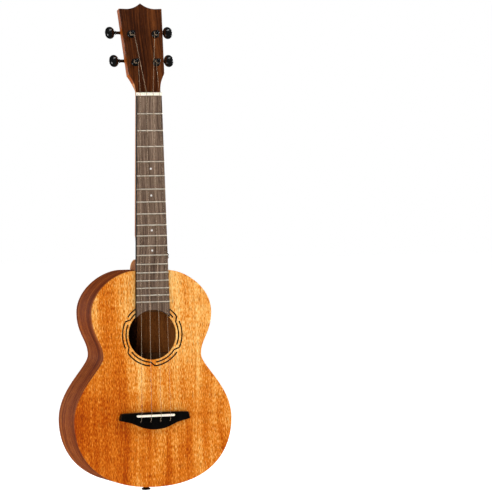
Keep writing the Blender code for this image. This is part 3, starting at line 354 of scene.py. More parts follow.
LOOKS = {
    "top": wood(
        "top_figured_mahogany", (0.7, 0.4, 0.2, 0.5, 1.0), 0.50,
        (0.10, 150, 54, 0), (0.30, 186, 84, 2), (0.50, 217, 125, 30), (0.70, 239, 172, 88),
        (0.92, 253, 214, 140), pores=0.6, sheen=0.06, run=0.7,
        # The top's trend is partly the wood's own tone and partly painted light: lighter higher up and towards the
        # right, as the light falls from the upper right, with a painted haze of reflection there.
        trend=((-0.09, 0.07, 0.09), (-0.50, -0.30, 0.10), 0.03),
    ),
    "back": wood(
        "back_straight_mahogany", (0.5, 0.3, 0.15, 0.8, 0.8), 0.48,
        (0.12, 134, 50, 0), (0.38, 174, 79, 0), (0.60, 210, 116, 16), (0.88, 246, 166, 64),
        # The back's trend is partly the wood's own tone and partly painted light: lighter higher up, and one
        # bookmatched half darker for the sheen that catches the light on the other half.
        pores=0.6, sheen=0.06, run=0.6, trend=((-0.012, 0.012, 0.10), (-0.52, -0.26, 0.15), 0.05),
        bookmatch=True,
    ),
    "rib": wood(
        # The ribs' mahogany is darker than the back's partly as painted shade, for sides that face away from the
        # light.
        "rib_mahogany_with_painted_shade", (0.8, 0.3, 0, 1.3, 0.6), 0.58,
        (0.15, 88, 30, 2), (0.40, 122, 50, 10), (0.60, 150, 72, 22), (0.85, 182, 100, 40),
        pores=0.6, sheen=0.05, run=0.5, attribute="grain_place",
    ),
    "neck": wood(
        "neck_okoume", (0.6, 0.3, 0, 0.8, 0.3), 0.32,
        (0.15, 164, 80, 16), (0.40, 206, 116, 36), (0.60, 230, 148, 60), (0.85, 250, 186, 98),
        pores=0.5, sheen=0.5, lean=HEAD_TILT / 3,
    ),
    "neck_side": wood(
        # The headstock's sides are a darker copy of the neck wood: painted shade, for sides that face away from
        # the light.
        "neck_side_painted_shade", (0.6, 0, 0, 0.8, 0.4), 0.4,
        (0.15, 116, 46, 4), (0.50, 166, 80, 18), (0.85, 208, 122, 48),
        pores=0.5, sheen=0.15, lean=HEAD_TILT,
    ),
    "neck_end": wood(
        # The crest is darker partly as real end grain and partly as painted shade, for a face that the light
        # misses.
        "neck_end_grain_painted_shade", (0, 0.6, 0, 0.2, 0.9), 0.5,
        (0.15, 50, 20, 5), (0.50, 84, 38, 12), (0.85, 120, 62, 26),
        pores=0.5, sheen=0.15,
    ),
    "heel_cap": wood(
        "heel_cap_maple", (0.5, 0, 0, 0.6, 0.3), 0.34,
        (0.15, 200, 128, 60), (0.50, 234, 166, 92), (0.85, 246, 192, 124),
        pores=0.12, sheen=0.3,
    ),
    "headplate": wood(
        "headplate_walnut", (0.8, 0, 0, 1.1, 0.25), 0.34,
        (0.20, 24, 7, 0), (0.42, 56, 22, 3), (0.58, 86, 42, 12), (0.80, 118, 64, 26),
        pores=0.35, sheen=0.1, scale=1.2, run=0.35, lean=HEAD_TILT,
    ),
    "fretboard": wood(
        "fretboard_walnut", (0.5, 0, 0, 1.3, 0.4), 0.55,
        (0.20, 60, 44, 33), (0.42, 94, 74, 60), (0.60, 122, 100, 83), (0.82, 154, 130, 110),
        pores=0.6, sheen=0.2, scale=1.6, run=0.5,
    ),
    "board_edge": wood(
        # The board's sides are darkened as painted shade.
        "fretboard_edge_painted_shade", (0, 0, 0, 1.0, 0.4), 0.5,
        (0.15, 14, 12, 11), (0.50, 28, 24, 22), (0.85, 48, 42, 38),
        sheen=0.15, scale=1.6,
    ),
    "bridge": wood(
        "bridge_black_wood", (0.5, 0, 0, 0.9, 0.4), 0.36,
        (0.15, 1, 1, 1), (0.50, 5, 4, 3), (0.85, 15, 12, 10),
        pores=0.3, sheen=0.15, scale=1.6,
    ),
    "inner": wood(
        "inner_spruce", (0.6, 0, 0, 1.0, 0.4), 0.7,
        (0.15, 96, 56, 26), (0.50, 132, 84, 44), (0.85, 168, 116, 68),
        pores=0.2,
    ),
    "inside": wood(
        # The back's inner face is painted shade: far darker than the back's mahogany for the shade inside the
        # body, with a painted shadow of the soundhole's rim darkening one side.
        "inside_mahogany_painted_shadow", (0.4, 0, 0, 0.6, 0.4), 0.7,
        (0.10, 8, 3, 1), (0.40, 44, 20, 8), (0.60, 124, 68, 28), (0.90, 186, 112, 52),
        pores=0.3, sheen=0.05, trend=((-0.012, 0.010, 0.26), (-0.50, -0.20, 0.0), 0.0),
    ),
    "bone": bone(),
    "line": nylon(),
    "pearl": pearl(),
    "inlay": fine_surface(
        "rosette_inlay", (10, 5, 4), (24, 14, 9), 0.42, bump=0.08, Specular_IOR_Level=0.2
    ),
    "black": fine_surface(
        "black_plating", (10, 10, 11), (30, 29, 30), 0.26, 0.6, Coat_Weight=0.4, Coat_Roughness=0.12
    ),
    "button": fine_surface(
        "gloss_black_plastic", (6, 6, 6), (13, 13, 14), 0.2, bump=0.02, Coat_Weight=0.5,
        Coat_Roughness=0.12,
    ),
    "brass": fine_surface("gear_brass", (252, 214, 134), (228, 180, 94), 0.36, 0.65, grain=1600),
    "chrome": fine_surface(
        "strap_chrome", (206, 206, 208), (170, 170, 174), 0.18, 1.0, grain=1400, bump=0.02
    ),
    "nickel": brushed_metal("fret_nickel", (236, 226, 208), (204, 190, 168), 0.34, 0.55),
}

# ---- mesh helpers

# Points closer than this are one; edges that turn by more degrees than this look sharp
WELD = 1e-7
SHARP = 32


def shares(steps):
    return [step / steps for step in range(steps + 1)]


def sweep(start, end, steps):
    """Even steps from one angle in degrees to another, with both ends."""
    return [radians(start + (end - start) * share) for share in shares(steps)]


def full_turn(steps):
    return sweep(0, 360, steps)[:-1]


def mm(*points):
    """Points given in millimetres."""
    return [(x / 1000, y / 1000) for x, y in points]


def polar(radius, angle, x=0.0, y=0.0):
    return (x + radius * cos(angle), y + radius * sin(angle))


def circle(x, y, radius, steps):
    return [polar(radius, angle, x, y) for angle in full_turn(steps)]


def bezier(start, first, second, end, steps):
    """Points along a cubic curve, without its end point."""
    points = []
    for step in range(steps):
        t = step / steps
        weights = ((1 - t) ** 3, 3 * (1 - t) ** 2 * t, 3 * (1 - t) * t * t, t**3)
        controls = (start, first, second, end)
        points.append(tuple(sum(w * c[i] for w, c in zip(weights, controls)) for i in (0, 1)))
    return points


# The share of a line that the curve at its end may take up
MOST_REACH = 0.45


def bend(start, corner, end, steps):
    """Points along a curve that leaves start and reaches end in the directions of a corner."""
    return [start * (1 - t) ** 2 + corner * 2 * t * (1 - t) + end * t * t for t in shares(steps)]


def smooth_step(share):
    share = min(max(share, 0.0), 1.0)
    return share * share * (3 - 2 * share)


def mirrored(half):
    """Close a right half, given from the top centre to the bottom centre, with its left half."""
    inner = [(x, y) for x, y in half if x > 1e-6]
    ends = [(x, y) for x, y in half if x <= 1e-6]
    left = [(-x, y) for x, y in reversed(inner)]
    return ends[:1] + inner + ends[1:] + left


def rounded_corners(loop, radius, steps=4, least=radians(25)):
    """Replace the sharp corners of a closed loop with small curves."""
    corners = [Vector(point) for point in loop]
    points = []
    for index, here in enumerate(corners):
        into, out = corners[index - 1] - here, corners[(index + 1) % len(corners)] - here
        if into.angle(-out) < least:
            points.append(loop[index])
            continue
        reach = min(radius, into.length * MOST_REACH, out.length * MOST_REACH)
        curve = bend(here + into.normalized() * reach, here, here + out.normalized() * reach, steps)
        points += map(tuple, curve)
    return points


def offset_loop(loop, distance):
    """A closed loop moved into the area that it encloses, or out of it if negative."""
    area = sum(a[0] * b[1] - b[0] * a[1] for a, b in zip(loop, loop[1:] + loop[:1]))
    turn = 1 if area > 0 else -1
    moved = []
    for index, (x, y) in enumerate(loop):
        here = Vector((x, y))
        into = (here - Vector(loop[index - 1])).normalized()
        out = (Vector(loop[(index + 1) % len(loop)]) - here).normalized()
        along = (into + out).normalized()
        reach = turn * distance / max(along.dot(out), 0.5)
        moved.append((x - along.y * reach, y + along.x * reach))
    return moved


def edge_profile(low, high, front, back):
    """(inset, height) pairs from the back face round both rounded edges to the front face."""
    steps = 4
    profile = []
    if back:
        profile += [polar(back, angle, back, low + back) for angle in sweep(270, 180, steps)[:-1]]
    profile += [(0.0, low + back), (0.0, high - front)]
    if front:
        profile += [polar(front, angle, front, high - front) for angle in sweep(180, 90, steps)[1:]]
    return profile


def to_mesh(work, place=None, angle=SHARP):
    """Weld, orient and shade a bmesh, and place it in the row frame."""
    bmesh.ops.remove_doubles(work, verts=work.verts, dist=WELD)
    bmesh.ops.dissolve_degenerate(work, edges=work.edges, dist=WELD)
    bmesh.ops.recalc_face_normals(work, faces=work.faces)
    mesh = bpy.data.meshes.new("piece")
    work.to_mesh(mesh)
    work.free()
    if place:
        mesh.transform(place)
    mesh.shade_smooth()
    mesh.set_sharp_from_angle(angle=radians(angle))
    return mesh


def join_rings(work, rings, closed=False, around=True):
    """Quads between rows of new vertices; rows run round unless around is false."""
    rows = [[work.verts.new(point) for point in ring] for ring in rings]
    pairs = list(zip(rows, rows[1:]))
    if closed:
        pairs.append((rows[-1], rows[0]))
    count = len(rings[0])
    for lower, upper in pairs:
        for index in range(count if around else count - 1):
            after = (index + 1) % count
            work.faces.new((lower[index], lower[after], upper[after], upper[index]))
    return rows


def plate(outline, holes, low, high, place, front=0.0, back=0.0, hole_front=None):
    """A flat plate between two local heights with rounded front and back edges."""
    work = bmesh.new()
    rims = ([], [])
    for loop, inwards in [(outline, 1), *((hole, -1) for hole in holes)]:
        radius = front if inwards > 0 or hole_front is None else hole_front
        rings = []
        for inset, height in edge_profile(low, high, radius, back):
            rings.append([(x, y, height) for x, y in offset_loop(loop, inset * inwards)])
        rows = join_rings(work, rings)
        for rim, row in zip(rims, (rows[0], rows[-1])):
            rim += [work.edges.get((a, b)) for a, b in zip(row, row[1:] + row[:1])]
    for rim in rims:
        bmesh.ops.triangle_fill(work, edges=rim, use_beauty=True)
    return to_mesh(work, place)


def solid_loft(rings, place=None, angle=SHARP):
    """A closed body through equal closed rings, with its two ends filled."""
    work = bmesh.new()
    rows = join_rings(work, rings)
    work.faces.new(rows[0])
    work.faces.new(rows[-1])
    return to_mesh(work, place, angle)


def turned(profile, place, steps=40, around=False):
    """Turn (radius, height) points about local Z; around joins the last point to the first."""
    work = bmesh.new()
    rings = [[(*polar(r, angle), h) for r, h in profile] for angle in full_turn(steps)]
    join_rings(work, rings, closed=True, around=around)
    return to_mesh(work, place)


def rod(radius, low, high, place, steps):
    """A plain rod along local Z, to cut a hole with."""
    return turned([(0, low), (radius, low), (radius, high), (0, high)], place, steps)


def box_mesh(low, high, place):
    work = bmesh.new()
    bmesh.ops.create_cube(work, size=1)
    low, high = Vector(low), Vector(high)
    bmesh.ops.scale(work, vec=high - low, verts=work.verts)
    bmesh.ops.translate(work, vec=(low + high) / 2, verts=work.verts)
    return to_mesh(work, place)


def in_scene(name, data):
    made = bpy.data.objects.new(name, data)
    bpy.context.scene.collection.objects.link(made)
    return made


def modify(piece, name, kind, **settings):
    modifier = piece.modifiers.new(name, kind)
    for key, value in settings.items():
        setattr(modifier, key, value)


def carve(mesh, *cutters):
    """A mesh with closed meshes cut out of it."""
    for cutter in cutters:
        piece, tool = in_scene("carved", mesh), in_scene("cutter", cutter)
        modify(piece, "carve", "BOOLEAN", solver="EXACT", object=tool)
        graph = bpy.context.evaluated_depsgraph_get()
        mesh = bpy.data.meshes.new_from_object(piece.evaluated_get(graph))
        mesh.set_sharp_from_angle(angle=radians(SHARP))
        bpy.data.objects.remove(tool)
        bpy.data.objects.remove(piece)
    return mesh


def add(name, mesh, look, *replaced, body=ROOT):
    """Put a finished mesh in the scene on a body, with its material; the parts that it replaces are hidden."""
    mesh.name = name
    mesh.materials.append(LOOKS[look])
    piece = in_scene(name, mesh)
    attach(piece, body)
    if replaced:
        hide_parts(*replaced)
    modify(piece, "even_shading", "WEIGHTED_NORMAL", keep_sharp=True)
    return piece


def dress_faces(piece, look, chosen):
    """Give the chosen faces a further material."""
    mesh = piece.data
    mesh.materials.append(LOOKS[look])
    index = len(mesh.materials) - 1
    for face in mesh.polygons:
        if chosen(face):
            face.material_index = index


# ---- body


def half_outline(steps=26):
    """Right half of the body's outline from the top centre to the bottom centre."""
    upper, waist, lower = ((x, BODY_TOP - drop) for x, drop in (UPPER_BOUT, WAIST, LOWER_BOUT))
    joint, tail = (JOINT_FLAT, BODY_TOP), (0, BODY_BOTTOM)

    def moved(point, right, up):
        return (point[0] + right, point[1] + up)

    def curve(start, leave, arrive, end, count=steps):
        return bezier(start, moved(start, *leave), moved(end, *arrive), end, count)

    return [
        (0, BODY_TOP),
        *curve(joint, (SHOULDER_HANDLES[0], 0), (0, SHOULDER_HANDLES[1]), upper),
        *curve(upper, (0, -FLANK_HANDLES[0]), (0, FLANK_HANDLES[1]), waist),
        *curve(waist, (0, -HIP_HANDLES[0]), (0, HIP_HANDLES[1]), lower),
        *curve(lower, (0, -TAIL_HANDLES[0]), (TAIL_HANDLES[1], 0), tail, steps + 10),
        tail,
    ]


OUTLINE = half_outline()


def add_soundboard():
    hole = circle(0, HOLE_Z, HOLE_RADIUS, 96)
    mesh = plate(mirrored(OUTLINE), [hole], -PLATE, 0, FRONT, front=0.0009, hole_front=0.0006)
    add("soundboard_top", mesh, "top", "soundboard")


def add_back():
    """The back plate, whose inner face shows through the soundhole."""
    loop = [(x, z - BODY_TOP) for x, z in mirrored(OUTLINE)]
    piece = add("bookmatched_back", plate(loop, [], 0, PLATE, BACK, back=0.0009), "back", "back_plate")
    # Its inner face takes the darker inside wood: painted shade with a painted shadow.
    dress_faces(piece, "inside", lambda face: face.normal.y < -0.9)


def add_ribs():
    """Two bent strips that meet at the top and at the tail, with the grain along the bend."""
    inner = offset_loop(mirrored(OUTLINE), RIB)[: len(OUTLINE)]
    inner[0] = (0, BODY_TOP - RIB)
    inner[-1] = (0, BODY_BOTTOM + RIB)
    for name, side in (("left", -1), ("right", 1)):
        rings = []
        for (x, z), (inner_x, inner_z) in zip(OUTLINE, inner):
            depth = back_y(z) - PLATE
            rings.append([
                (side * x, PLATE, z), (side * x, depth / 2, z), (side * x, depth, z),
                (side * inner_x, depth, inner_z), (side * inner_x, PLATE, inner_z),
            ])
        mesh = solid_loft(rings)
        mark_bent_grain(mesh, side)
        add(f"rib_{name}", mesh, "rib", f"side_{name}")


def mark_bent_grain(mesh, side):
    """Store each point's depth and its distance along the bend, for the wood material."""
    apart = 0.31  # so that the two ribs have different figure
    run = 0.0
    along = []
    for before, here in zip(OUTLINE[:1] + OUTLINE, OUTLINE):
        run += dist(before, here)
        along.append(((side * here[0], here[1]), run))
    grain = mesh.attributes.new("grain_place", "FLOAT_VECTOR", "POINT")
    for vertex, item in zip(mesh.vertices, grain.data):
        x, y, z = vertex.co
        nearest = min(along, key=lambda place: dist(place[0], (x, z)))
        item.vector = (y, apart * side, nearest[1])


def add_rosette():
    """Six strokes inlaid round the soundhole; each runs inside, steps out and runs outside."""
    inner_radius, outer_radius, width = 0.0374, 0.0424, 0.0019
    proud, sunk = 0.00006, -0.0004
    for index in range(6):
        start = 30 + 60 * index
        path = [polar(inner_radius, angle, 0, HOLE_Z) for angle in sweep(start + 7, start + 56, 18)]
        path += [polar(outer_radius, angle, 0, HOLE_Z) for angle in sweep(start + 64, start + 114.5, 19)]
        path = [Vector(point) for point in path]
        rings = []
        for place, before, after in zip(path, path[:1] + path, path[1:] + path[-1:]):
            along = (after - before).normalized()
            beside = Vector((-along.y, along.x)) * (width / 2)
            left, right = place + beside, place - beside
            rings.append([(*left, sunk), (*left, proud), (*right, proud), (*right, sunk)])
        add(f"rosette_stroke_{index + 1}", solid_loft(rings, FRONT), "inlay")


# ---- bridge, saddle, nut


def string_places(spacing):
    return [(index - 1.5) * spacing for index in range(4)]


def capsule(half_length, half_width, steps=10):
    """A closed loop with straight sides and round ends, round the middle of the saddle."""
    points = []
    for end in (1, -1):
        for angle in sweep(-90, 90, steps):
            x, y = polar(half_width, angle, half_length - half_width)
            points.append((end * x, end * y + SADDLE_Z))
    return points


def add_bridge():
    top_z, end_z, belly_z = SADDLE_Z + 0.0045, SADDLE_Z - 0.0055, SADDLE_Z - 0.0188
    tip, shoulder = (0.0478, top_z - 0.0008), (0.0305, end_z - 0.0051)
    crown = bezier((0, top_z), (0.020, top_z), (0.036, top_z - 0.0001), tip, 8)
    wing = bezier((0.050, end_z), (0.0425, end_z - 0.0022), (0.036, end_z - 0.0028), shoulder, 10)
    belly = bezier(shoulder, (0.0225, end_z - 0.0084), (0.015, belly_z), (0, belly_z), 16)
    outline = rounded_corners(mirrored([*crown, tip, *wing, *belly, (0, belly_z)]), 0.0012)
    body = plate(outline, [], GAP / 3, BRIDGE_FACE, FRONT, front=0.0012)
    cutters = [plate(capsule(SADDLE_HIGH.x + 0.00015, 0.00165), [], 0.0042, 0.02, FRONT)]
    bore, mouth = 0.00085, 0.0017
    profile = [(0, -0.01), (bore, -0.01), (bore, BRIDGE_FACE - 0.0007), (mouth, BRIDGE_FACE + 0.0002)]
    profile += [(mouth, 0.02), (0, 0.02)]
    for x in string_places(SADDLE_SPACING):
        cutters.append(turned(profile, FRONT @ shift(x, STRING_HOLE_Z), 20))
    add("bridge_body", carve(body, *cutters), "bridge", "bridge")


def add_saddle():
    loop = capsule(SADDLE_HIGH.x, SADDLE_HALF)
    mesh = plate(loop, [], -SADDLE_HIGH.y, -SADDLE_LOW.y, FRONT, front=0.0009)
    add("saddle_bar", mesh, "bone", "saddle")


def add_nut():
    """A bar with a rounded crown that falls away towards the headstock, and four slots."""
    low, high = NUT_LOW, NUT_HIGH
    section = [
        (high.y, low.z), (low.y + 0.0003, low.z), (low.y, low.z + 0.0004), (low.y, low.z + 0.0018),
        (low.y + 0.0004, low.z + 0.0031), (low.y + 0.0013, high.z - 0.0004), (low.y + 0.0021, high.z),
        (high.y, high.z),
    ]
    chamfer = 0.0004
    middle = (low.yz + high.yz) / 2
    rings = []
    for x, inset in ((-high.x, chamfer), (chamfer - high.x, 0), (high.x - chamfer, 0), (high.x, chamfer)):
        points = [Vector(point) for point in section]
        rings.append([(x, *(point + (middle - point).normalized() * inset)) for point in points])
    slots = []
    for radius, x in zip(STRING_RADII.values(), string_places(NUT_SPACING)):
        half = radius + 0.0001
        centre = low.y + 2 * radius + 0.0001 - half
        loop = [(x - half, low.y - 0.003), (x + half, low.y - 0.003)]
        loop += [polar(half, angle, x, centre) for angle in sweep(0, 180, 8)]
        ends = (low.z - 0.002, high.z + 0.002)
        slots.append(solid_loft([[(*point, z) for point in loop] for z in ends]))
    add("nut_bar", carve(solid_loft(rings, angle=50), *slots), "bone", "nut")


# ---- fretboard and neck

# Faces turned farther from the front than this cosine are the board's sides, darkened as painted shade;
# faces turned nearer to the side or the crest than these are the headstock's sides, darkened as painted
# shade, and its end grain, darker partly of itself and partly as painted shade
EDGE_FACING = 0.8
SIDE_FACING = 0.75
CREST_FACING = 0.5


def add_fretboard():
    corner = degrees(acos(board_half(HOLE_Z + BOARD_END_RADIUS) / BOARD_END_RADIUS))
    end = [polar(BOARD_END_RADIUS, angle, 0, HOLE_Z) for angle in sweep(corner, 180 - corner, 40)]
    outline = [(-NUT_HIGH.x, NUT_Z), (NUT_HIGH.x, NUT_Z), *end]
    mesh = plate(outline, [], GAP / 3, -BOARD_FRONT, FRONT, front=0.0008)
    board = add("fretboard_blank", mesh, "fretboard", "fretboard")
    # The board's sides take a darker wood as painted shade.
    dress_faces(board, "board_edge", lambda face: abs(face.normal.y) < EDGE_FACING)
    for number in range(1, FRET_COUNT + 1):
        add_fret(number)
    profile = mm((0, 0.08), (1.2, 0.08), (1.4, 0.02), (1.4, -0.6), (0, -0.6))
    for number in (5, 7, 10, 12):
        place = FRONT @ shift(0, (fret_z(number) + fret_z(number - 1)) / 2, -BOARD_FRONT)
        add(f"position_dot_{number:02}", turned(profile, place, 32), "pearl")


def add_fret(number):
    """A crowned wire whose ends are filed back at a slope."""
    z = fret_z(number)
    half, crown, width, slope = board_half(z) - GAP / 2, 0.00098, 0.0008, 0.0007
    rings = []
    for x, height in ((-half, 0.18), (slope - half, 1.0), (half - slope, 1.0), (half, 0.18)):
        top = [(x, -width * cos(a), crown * height * sin(a) ** 0.8) for a in sweep(0, 180, 10)]
        rings.append([(x, -width, -0.0001), *top, (x, width, -0.0001)])
    place = FRONT @ shift(0, z, -BOARD_FRONT)
    add(f"fret_{number:02}", solid_loft(rings, place, 40), "nickel")


# The neck's section: rounded at the shaft, straight-sided at the heel, square in the headstock
SHAFT_POWERS = (0.85, 0.9)
HEAD_POWER = 0.09
HEEL_CAP_HALF = 0.0075
HEEL_CAP_HEIGHT = 0.0135
HEEL_CAP_THICKNESS = 0.0018
HEEL_SWEEP = 0.034
NECK_DEPTHS = (0.0150, 0.0175)
NECK_INSET = 0.0002
SECTION_STEPS = 20
HEEL_EDGE = 0.0013
THROAT_FILL, THROAT_FILL_END = 0.0034, 0.021


def section(half_top, depth, half_foot=0.0, heel=0.0, powers=SHAFT_POWERS):
    """One closed section as (x, depth) points, symmetric about the centre."""
    right = []
    for share in shares(SECTION_STEPS):
        angle = QUARTER * share
        round_x = half_top * max(cos(angle), 0.0) ** powers[0]
        round_y = sin(angle) ** powers[1]
        straight_x = half_top + (half_foot - half_top) * share ** 0.9
        x = round_x + (straight_x - round_x) * heel
        y = round_y + (share - round_y) * heel
        right.append((x, depth * y))
    right.append((right[-1][0] / 2, depth))
    left = [(-x, y) for x, y in right[::-1]]
    front = [(-half_top / 2, 0.0), (0.0, 0.0), (half_top / 2, 0.0)]
    return [*right, (0.0, depth), *left, *front]


def neck_ring(z, depth, *heel):
    return [(x, y, z) for x, y in section(board_half(z) - NECK_INSET, depth, *heel)]


def heel_rings():
    """From the body joint up, round the heel's sweep, to where the shaft runs straight."""
    joint = BODY_TOP + GAP / 3
    rings = []
    for share in shares(10):
        share *= 0.985  # the last ring stops short of the cap's point
        z = joint + HEEL_CAP_HEIGHT * share
        foot = HEEL_CAP_HALF * sqrt(1 - share * share)
        rings.append(neck_ring(z, back_y(z) - HEEL_CAP_THICKNESS, foot, 1.0))
    foot_z = joint + HEEL_CAP_HEIGHT
    tip = back_y(foot_z) - HEEL_CAP_THICKNESS
    for share in shares(24)[1:]:
        angle = QUARTER * share
        z = foot_z + HEEL_SWEEP * (1 - cos(angle))
        y = tip - (tip - NECK_DEPTHS[1]) * sin(angle) ** 0.9
        rings.append(neck_ring(z, y, HEEL_EDGE * (1 - share), (1 - share) ** 0.7))
    return rings


def head_half_outline():
    """Right half of the headstock's face, from the crest down to the nut."""
    crest = bezier((0, CREST), *CREST_HANDLES, CREST_DIP, 12)
    throat = bezier(EAR, *THROAT_HANDLES, THROAT_FOOT, 14)
    return [*crest, CREST_DIP, CORNER, *throat, THROAT_FOOT, (0, 0)]


def head_half_width(rise):
    """Half width of the headstock at a height above the nut, past its crest as well."""
    sides = [*bezier(EAR, *THROAT_HANDLES, THROAT_FOOT, 30)[::-1], CORNER]
    for (low_x, low_y), (high_x, high_y) in zip(sides, sides[1:]):
        if high_y > rise or high_y == CORNER[1]:
            return low_x + (high_x - low_x) * max(rise - low_y, 0) / (high_y - low_y)


def head_rings():
    """From the nut, where the shaft is round, up to past the headstock's crest, all square."""
    rises = [0.0015 + EAR[1] * (step / 18) for step in range(18)]
    rings = []
    for rise in (*rises, EAR[1] + 0.0016, 0.05, 0.09, CREST + 0.004):
        change = smooth_step((rise - 0.001) / (EAR[1] - 0.001))
        depth = HEAD_THICKNESS - VENEER + THROAT_FILL * (1 - smooth_step(rise / THROAT_FILL_END))
        powers = [power * (HEAD_POWER / power) ** change for power in SHAFT_POWERS]
        at_ear = EAR[1] - 0.002 <= rise <= EAR[1] + 0.001
        half = EAR[0] - 0.0002 if at_ear else head_half_width(rise)
        ring = section(half, depth, powers=powers)
        rings.append([HEAD @ Vector((x, rise, -VENEER - y)) for x, y in ring])
    return rings


def neck_rings():
    rings = heel_rings()
    start = rings[-1][0][2]
    for share in shares(24)[1:]:
        depth = NECK_DEPTHS[1] + (NECK_DEPTHS[0] - NECK_DEPTHS[1]) * share
        rings.append(neck_ring(start + (NUT_Z - start) * share, depth))
    return rings + head_rings()


def crest_tool():
    """What is cut away above the headstock's crest."""
    half = head_half_outline()
    right, top = CORNER[0] + 0.012, CREST + 0.03
    line = [*half[: half.index(CORNER)], (right, CORNER[1] + 0.0016), (right, top), (0, top)]
    return plate(rounded_corners(mirrored(line), 0.0015), [], -0.03, 0.01, HEAD)


def add_neck():
    bores = [rod(POST_BORE, -0.03, 0.02, HEAD @ shift(*place), 32) for place in TUNERS.values()]
    mesh = carve(solid_loft(neck_rings(), angle=38), crest_tool(), *bores)
    neck = add("neck_and_headstock", mesh, "neck", "neck")
    up_the_head = HEAD.to_3x3() @ Vector((0, 1, 0))
    blade_foot = NUT_TOP + 0.012

    def is_side(face):
        return face.center.z > blade_foot and abs(face.normal.x) > SIDE_FACING

    def is_crest(face):
        return face.center.z > NUT_TOP and face.normal.dot(up_the_head) > CREST_FACING

    # The headstock's sides and crest take darker woods: painted shade, the crest also darker as end grain.
    dress_faces(neck, "neck_side", is_side)
    dress_faces(neck, "neck_end", is_crest)
    corner = radians(50)
    modify(neck, "soft_edges", "BEVEL", width=0.0006, segments=2, limit_method="ANGLE", angle_limit=corner)
    neck.modifiers.move(1, 0)


def add_headplate():
    outline = rounded_corners(mirrored(head_half_outline()), 0.0014)
    holes = [circle(x, rise, POST_BORE, 40) for x, rise in TUNERS.values()]
    mesh = plate(outline, holes, -VENEER, 0, HEAD, front=0.0005, hole_front=0.0001)
    add("headplate_veneer", mesh, "headplate", "headplate")


def add_heel_cap():
    half = [(HEEL_CAP_HALF * sin(a), GAP + HEEL_CAP_HEIGHT * cos(a)) for a in sweep(0, 90, 20)]
    mesh = plate(mirrored([*half, (0, GAP)]), [], 0, HEEL_CAP_THICKNESS, BACK, back=0.0005)
    add("heel_cap_veneer", mesh, "heel_cap", "heel_cap")


# ---- strings


def tube(points, radius, sides=12):
    """A round tube through points, with capped ends."""
    rings = []
    across = None
    for place, before, after in zip(points, points[:1] + points, points[1:] + points[-1:]):
        along = (after - before).normalized()
        if across is None:
            across = along.orthogonal().normalized()
        across = (across - along * across.dot(along)).normalized()
        beside = along.cross(across)
        rings.append([place + (across * x + beside * y) * radius for x, y in circle(0, 0, 1, sides)])
    return solid_loft(rings, angle=50)


def eased(points, reach):
    """Round the bends of a polyline."""
    route = [points[0]]
    for before, corner, after in zip(points, points[1:], points[2:]):
        into, out = before - corner, after - corner
        start = corner + into.normalized() * min(reach, into.length * MOST_REACH)
        end = corner + out.normalized() * min(reach, out.length * MOST_REACH)
        route += bend(start, corner, end, 5)
    return [*route, points[-1]]


POST_WAIST_RADIUS = 0.0023
POST_WAIST_HEIGHT = 0.0065
STRING_POSTS = {"g": "lower_left", "c": "upper_left", "e": "upper_right", "a": "lower_right"}


def string_route(index, name, radius):
    post_x, rise = TUNERS[STRING_POSTS[name]]
    inside = post_x - copysign(POST_WAIST_RADIUS + radius, post_x)
    nut_x, x = (string_places(spacing)[index] for spacing in (NUT_SPACING, SADDLE_SPACING))
    over_nut = NUT_LOW.y + radius
    over_saddle = SADDLE_LOW.y - radius
    points = [
        (nut_x, over_nut, NUT_HIGH.z - 0.0012), (nut_x, over_nut, NUT_Z),
        (x, over_saddle, SADDLE_Z + SADDLE_HALF / 2), (x, over_saddle, SADDLE_Z - SADDLE_HALF / 2),
        (x, -BRIDGE_FACE - 0.0006, STRING_HOLE_Z + 0.0012), (x, -BRIDGE_FACE + 0.0018, STRING_HOLE_Z),
        (x, 0.0070, STRING_HOLE_Z),
    ]
    return eased([HEAD @ Vector((inside, rise, POST_WAIST_HEIGHT)), *map(Vector, points)], 0.0009)


def winding(name, radius):
    """Turns of the string round its post's waist, and the tail that leaves the post's hole."""
    place = TUNERS[STRING_POSTS[name]]
    side = copysign(1, place[0])
    turns, steps = 3, 28
    start = pi if side > 0 else 0.0
    points = []
    for step in range(turns * steps + 1):
        share = step / steps
        height = POST_WAIST_HEIGHT + radius * 0.2 - share * radius * 2.1
        points.append(Vector((*polar(POST_WAIST_RADIUS + radius, start + side * tau * share), height)))
    last = points[-1]
    points.append(last * 0.55 + Vector((0, 0, last.z * 0.45)))
    return [HEAD @ shift(*place) @ point for point in points]


def add_strings():
    for index, (name, radius) in enumerate(STRING_RADII.items()):
        line = tube(string_route(index, name, radius), radius)
        add(f"string_{name}_line", line, "line", f"string_{name}")
        coil = tube(winding(name, radius), radius, 10)
        add(f"string_{name}_winding", coil, "line", body=f"post_{STRING_POSTS[name]}_body")


# ---- tuners

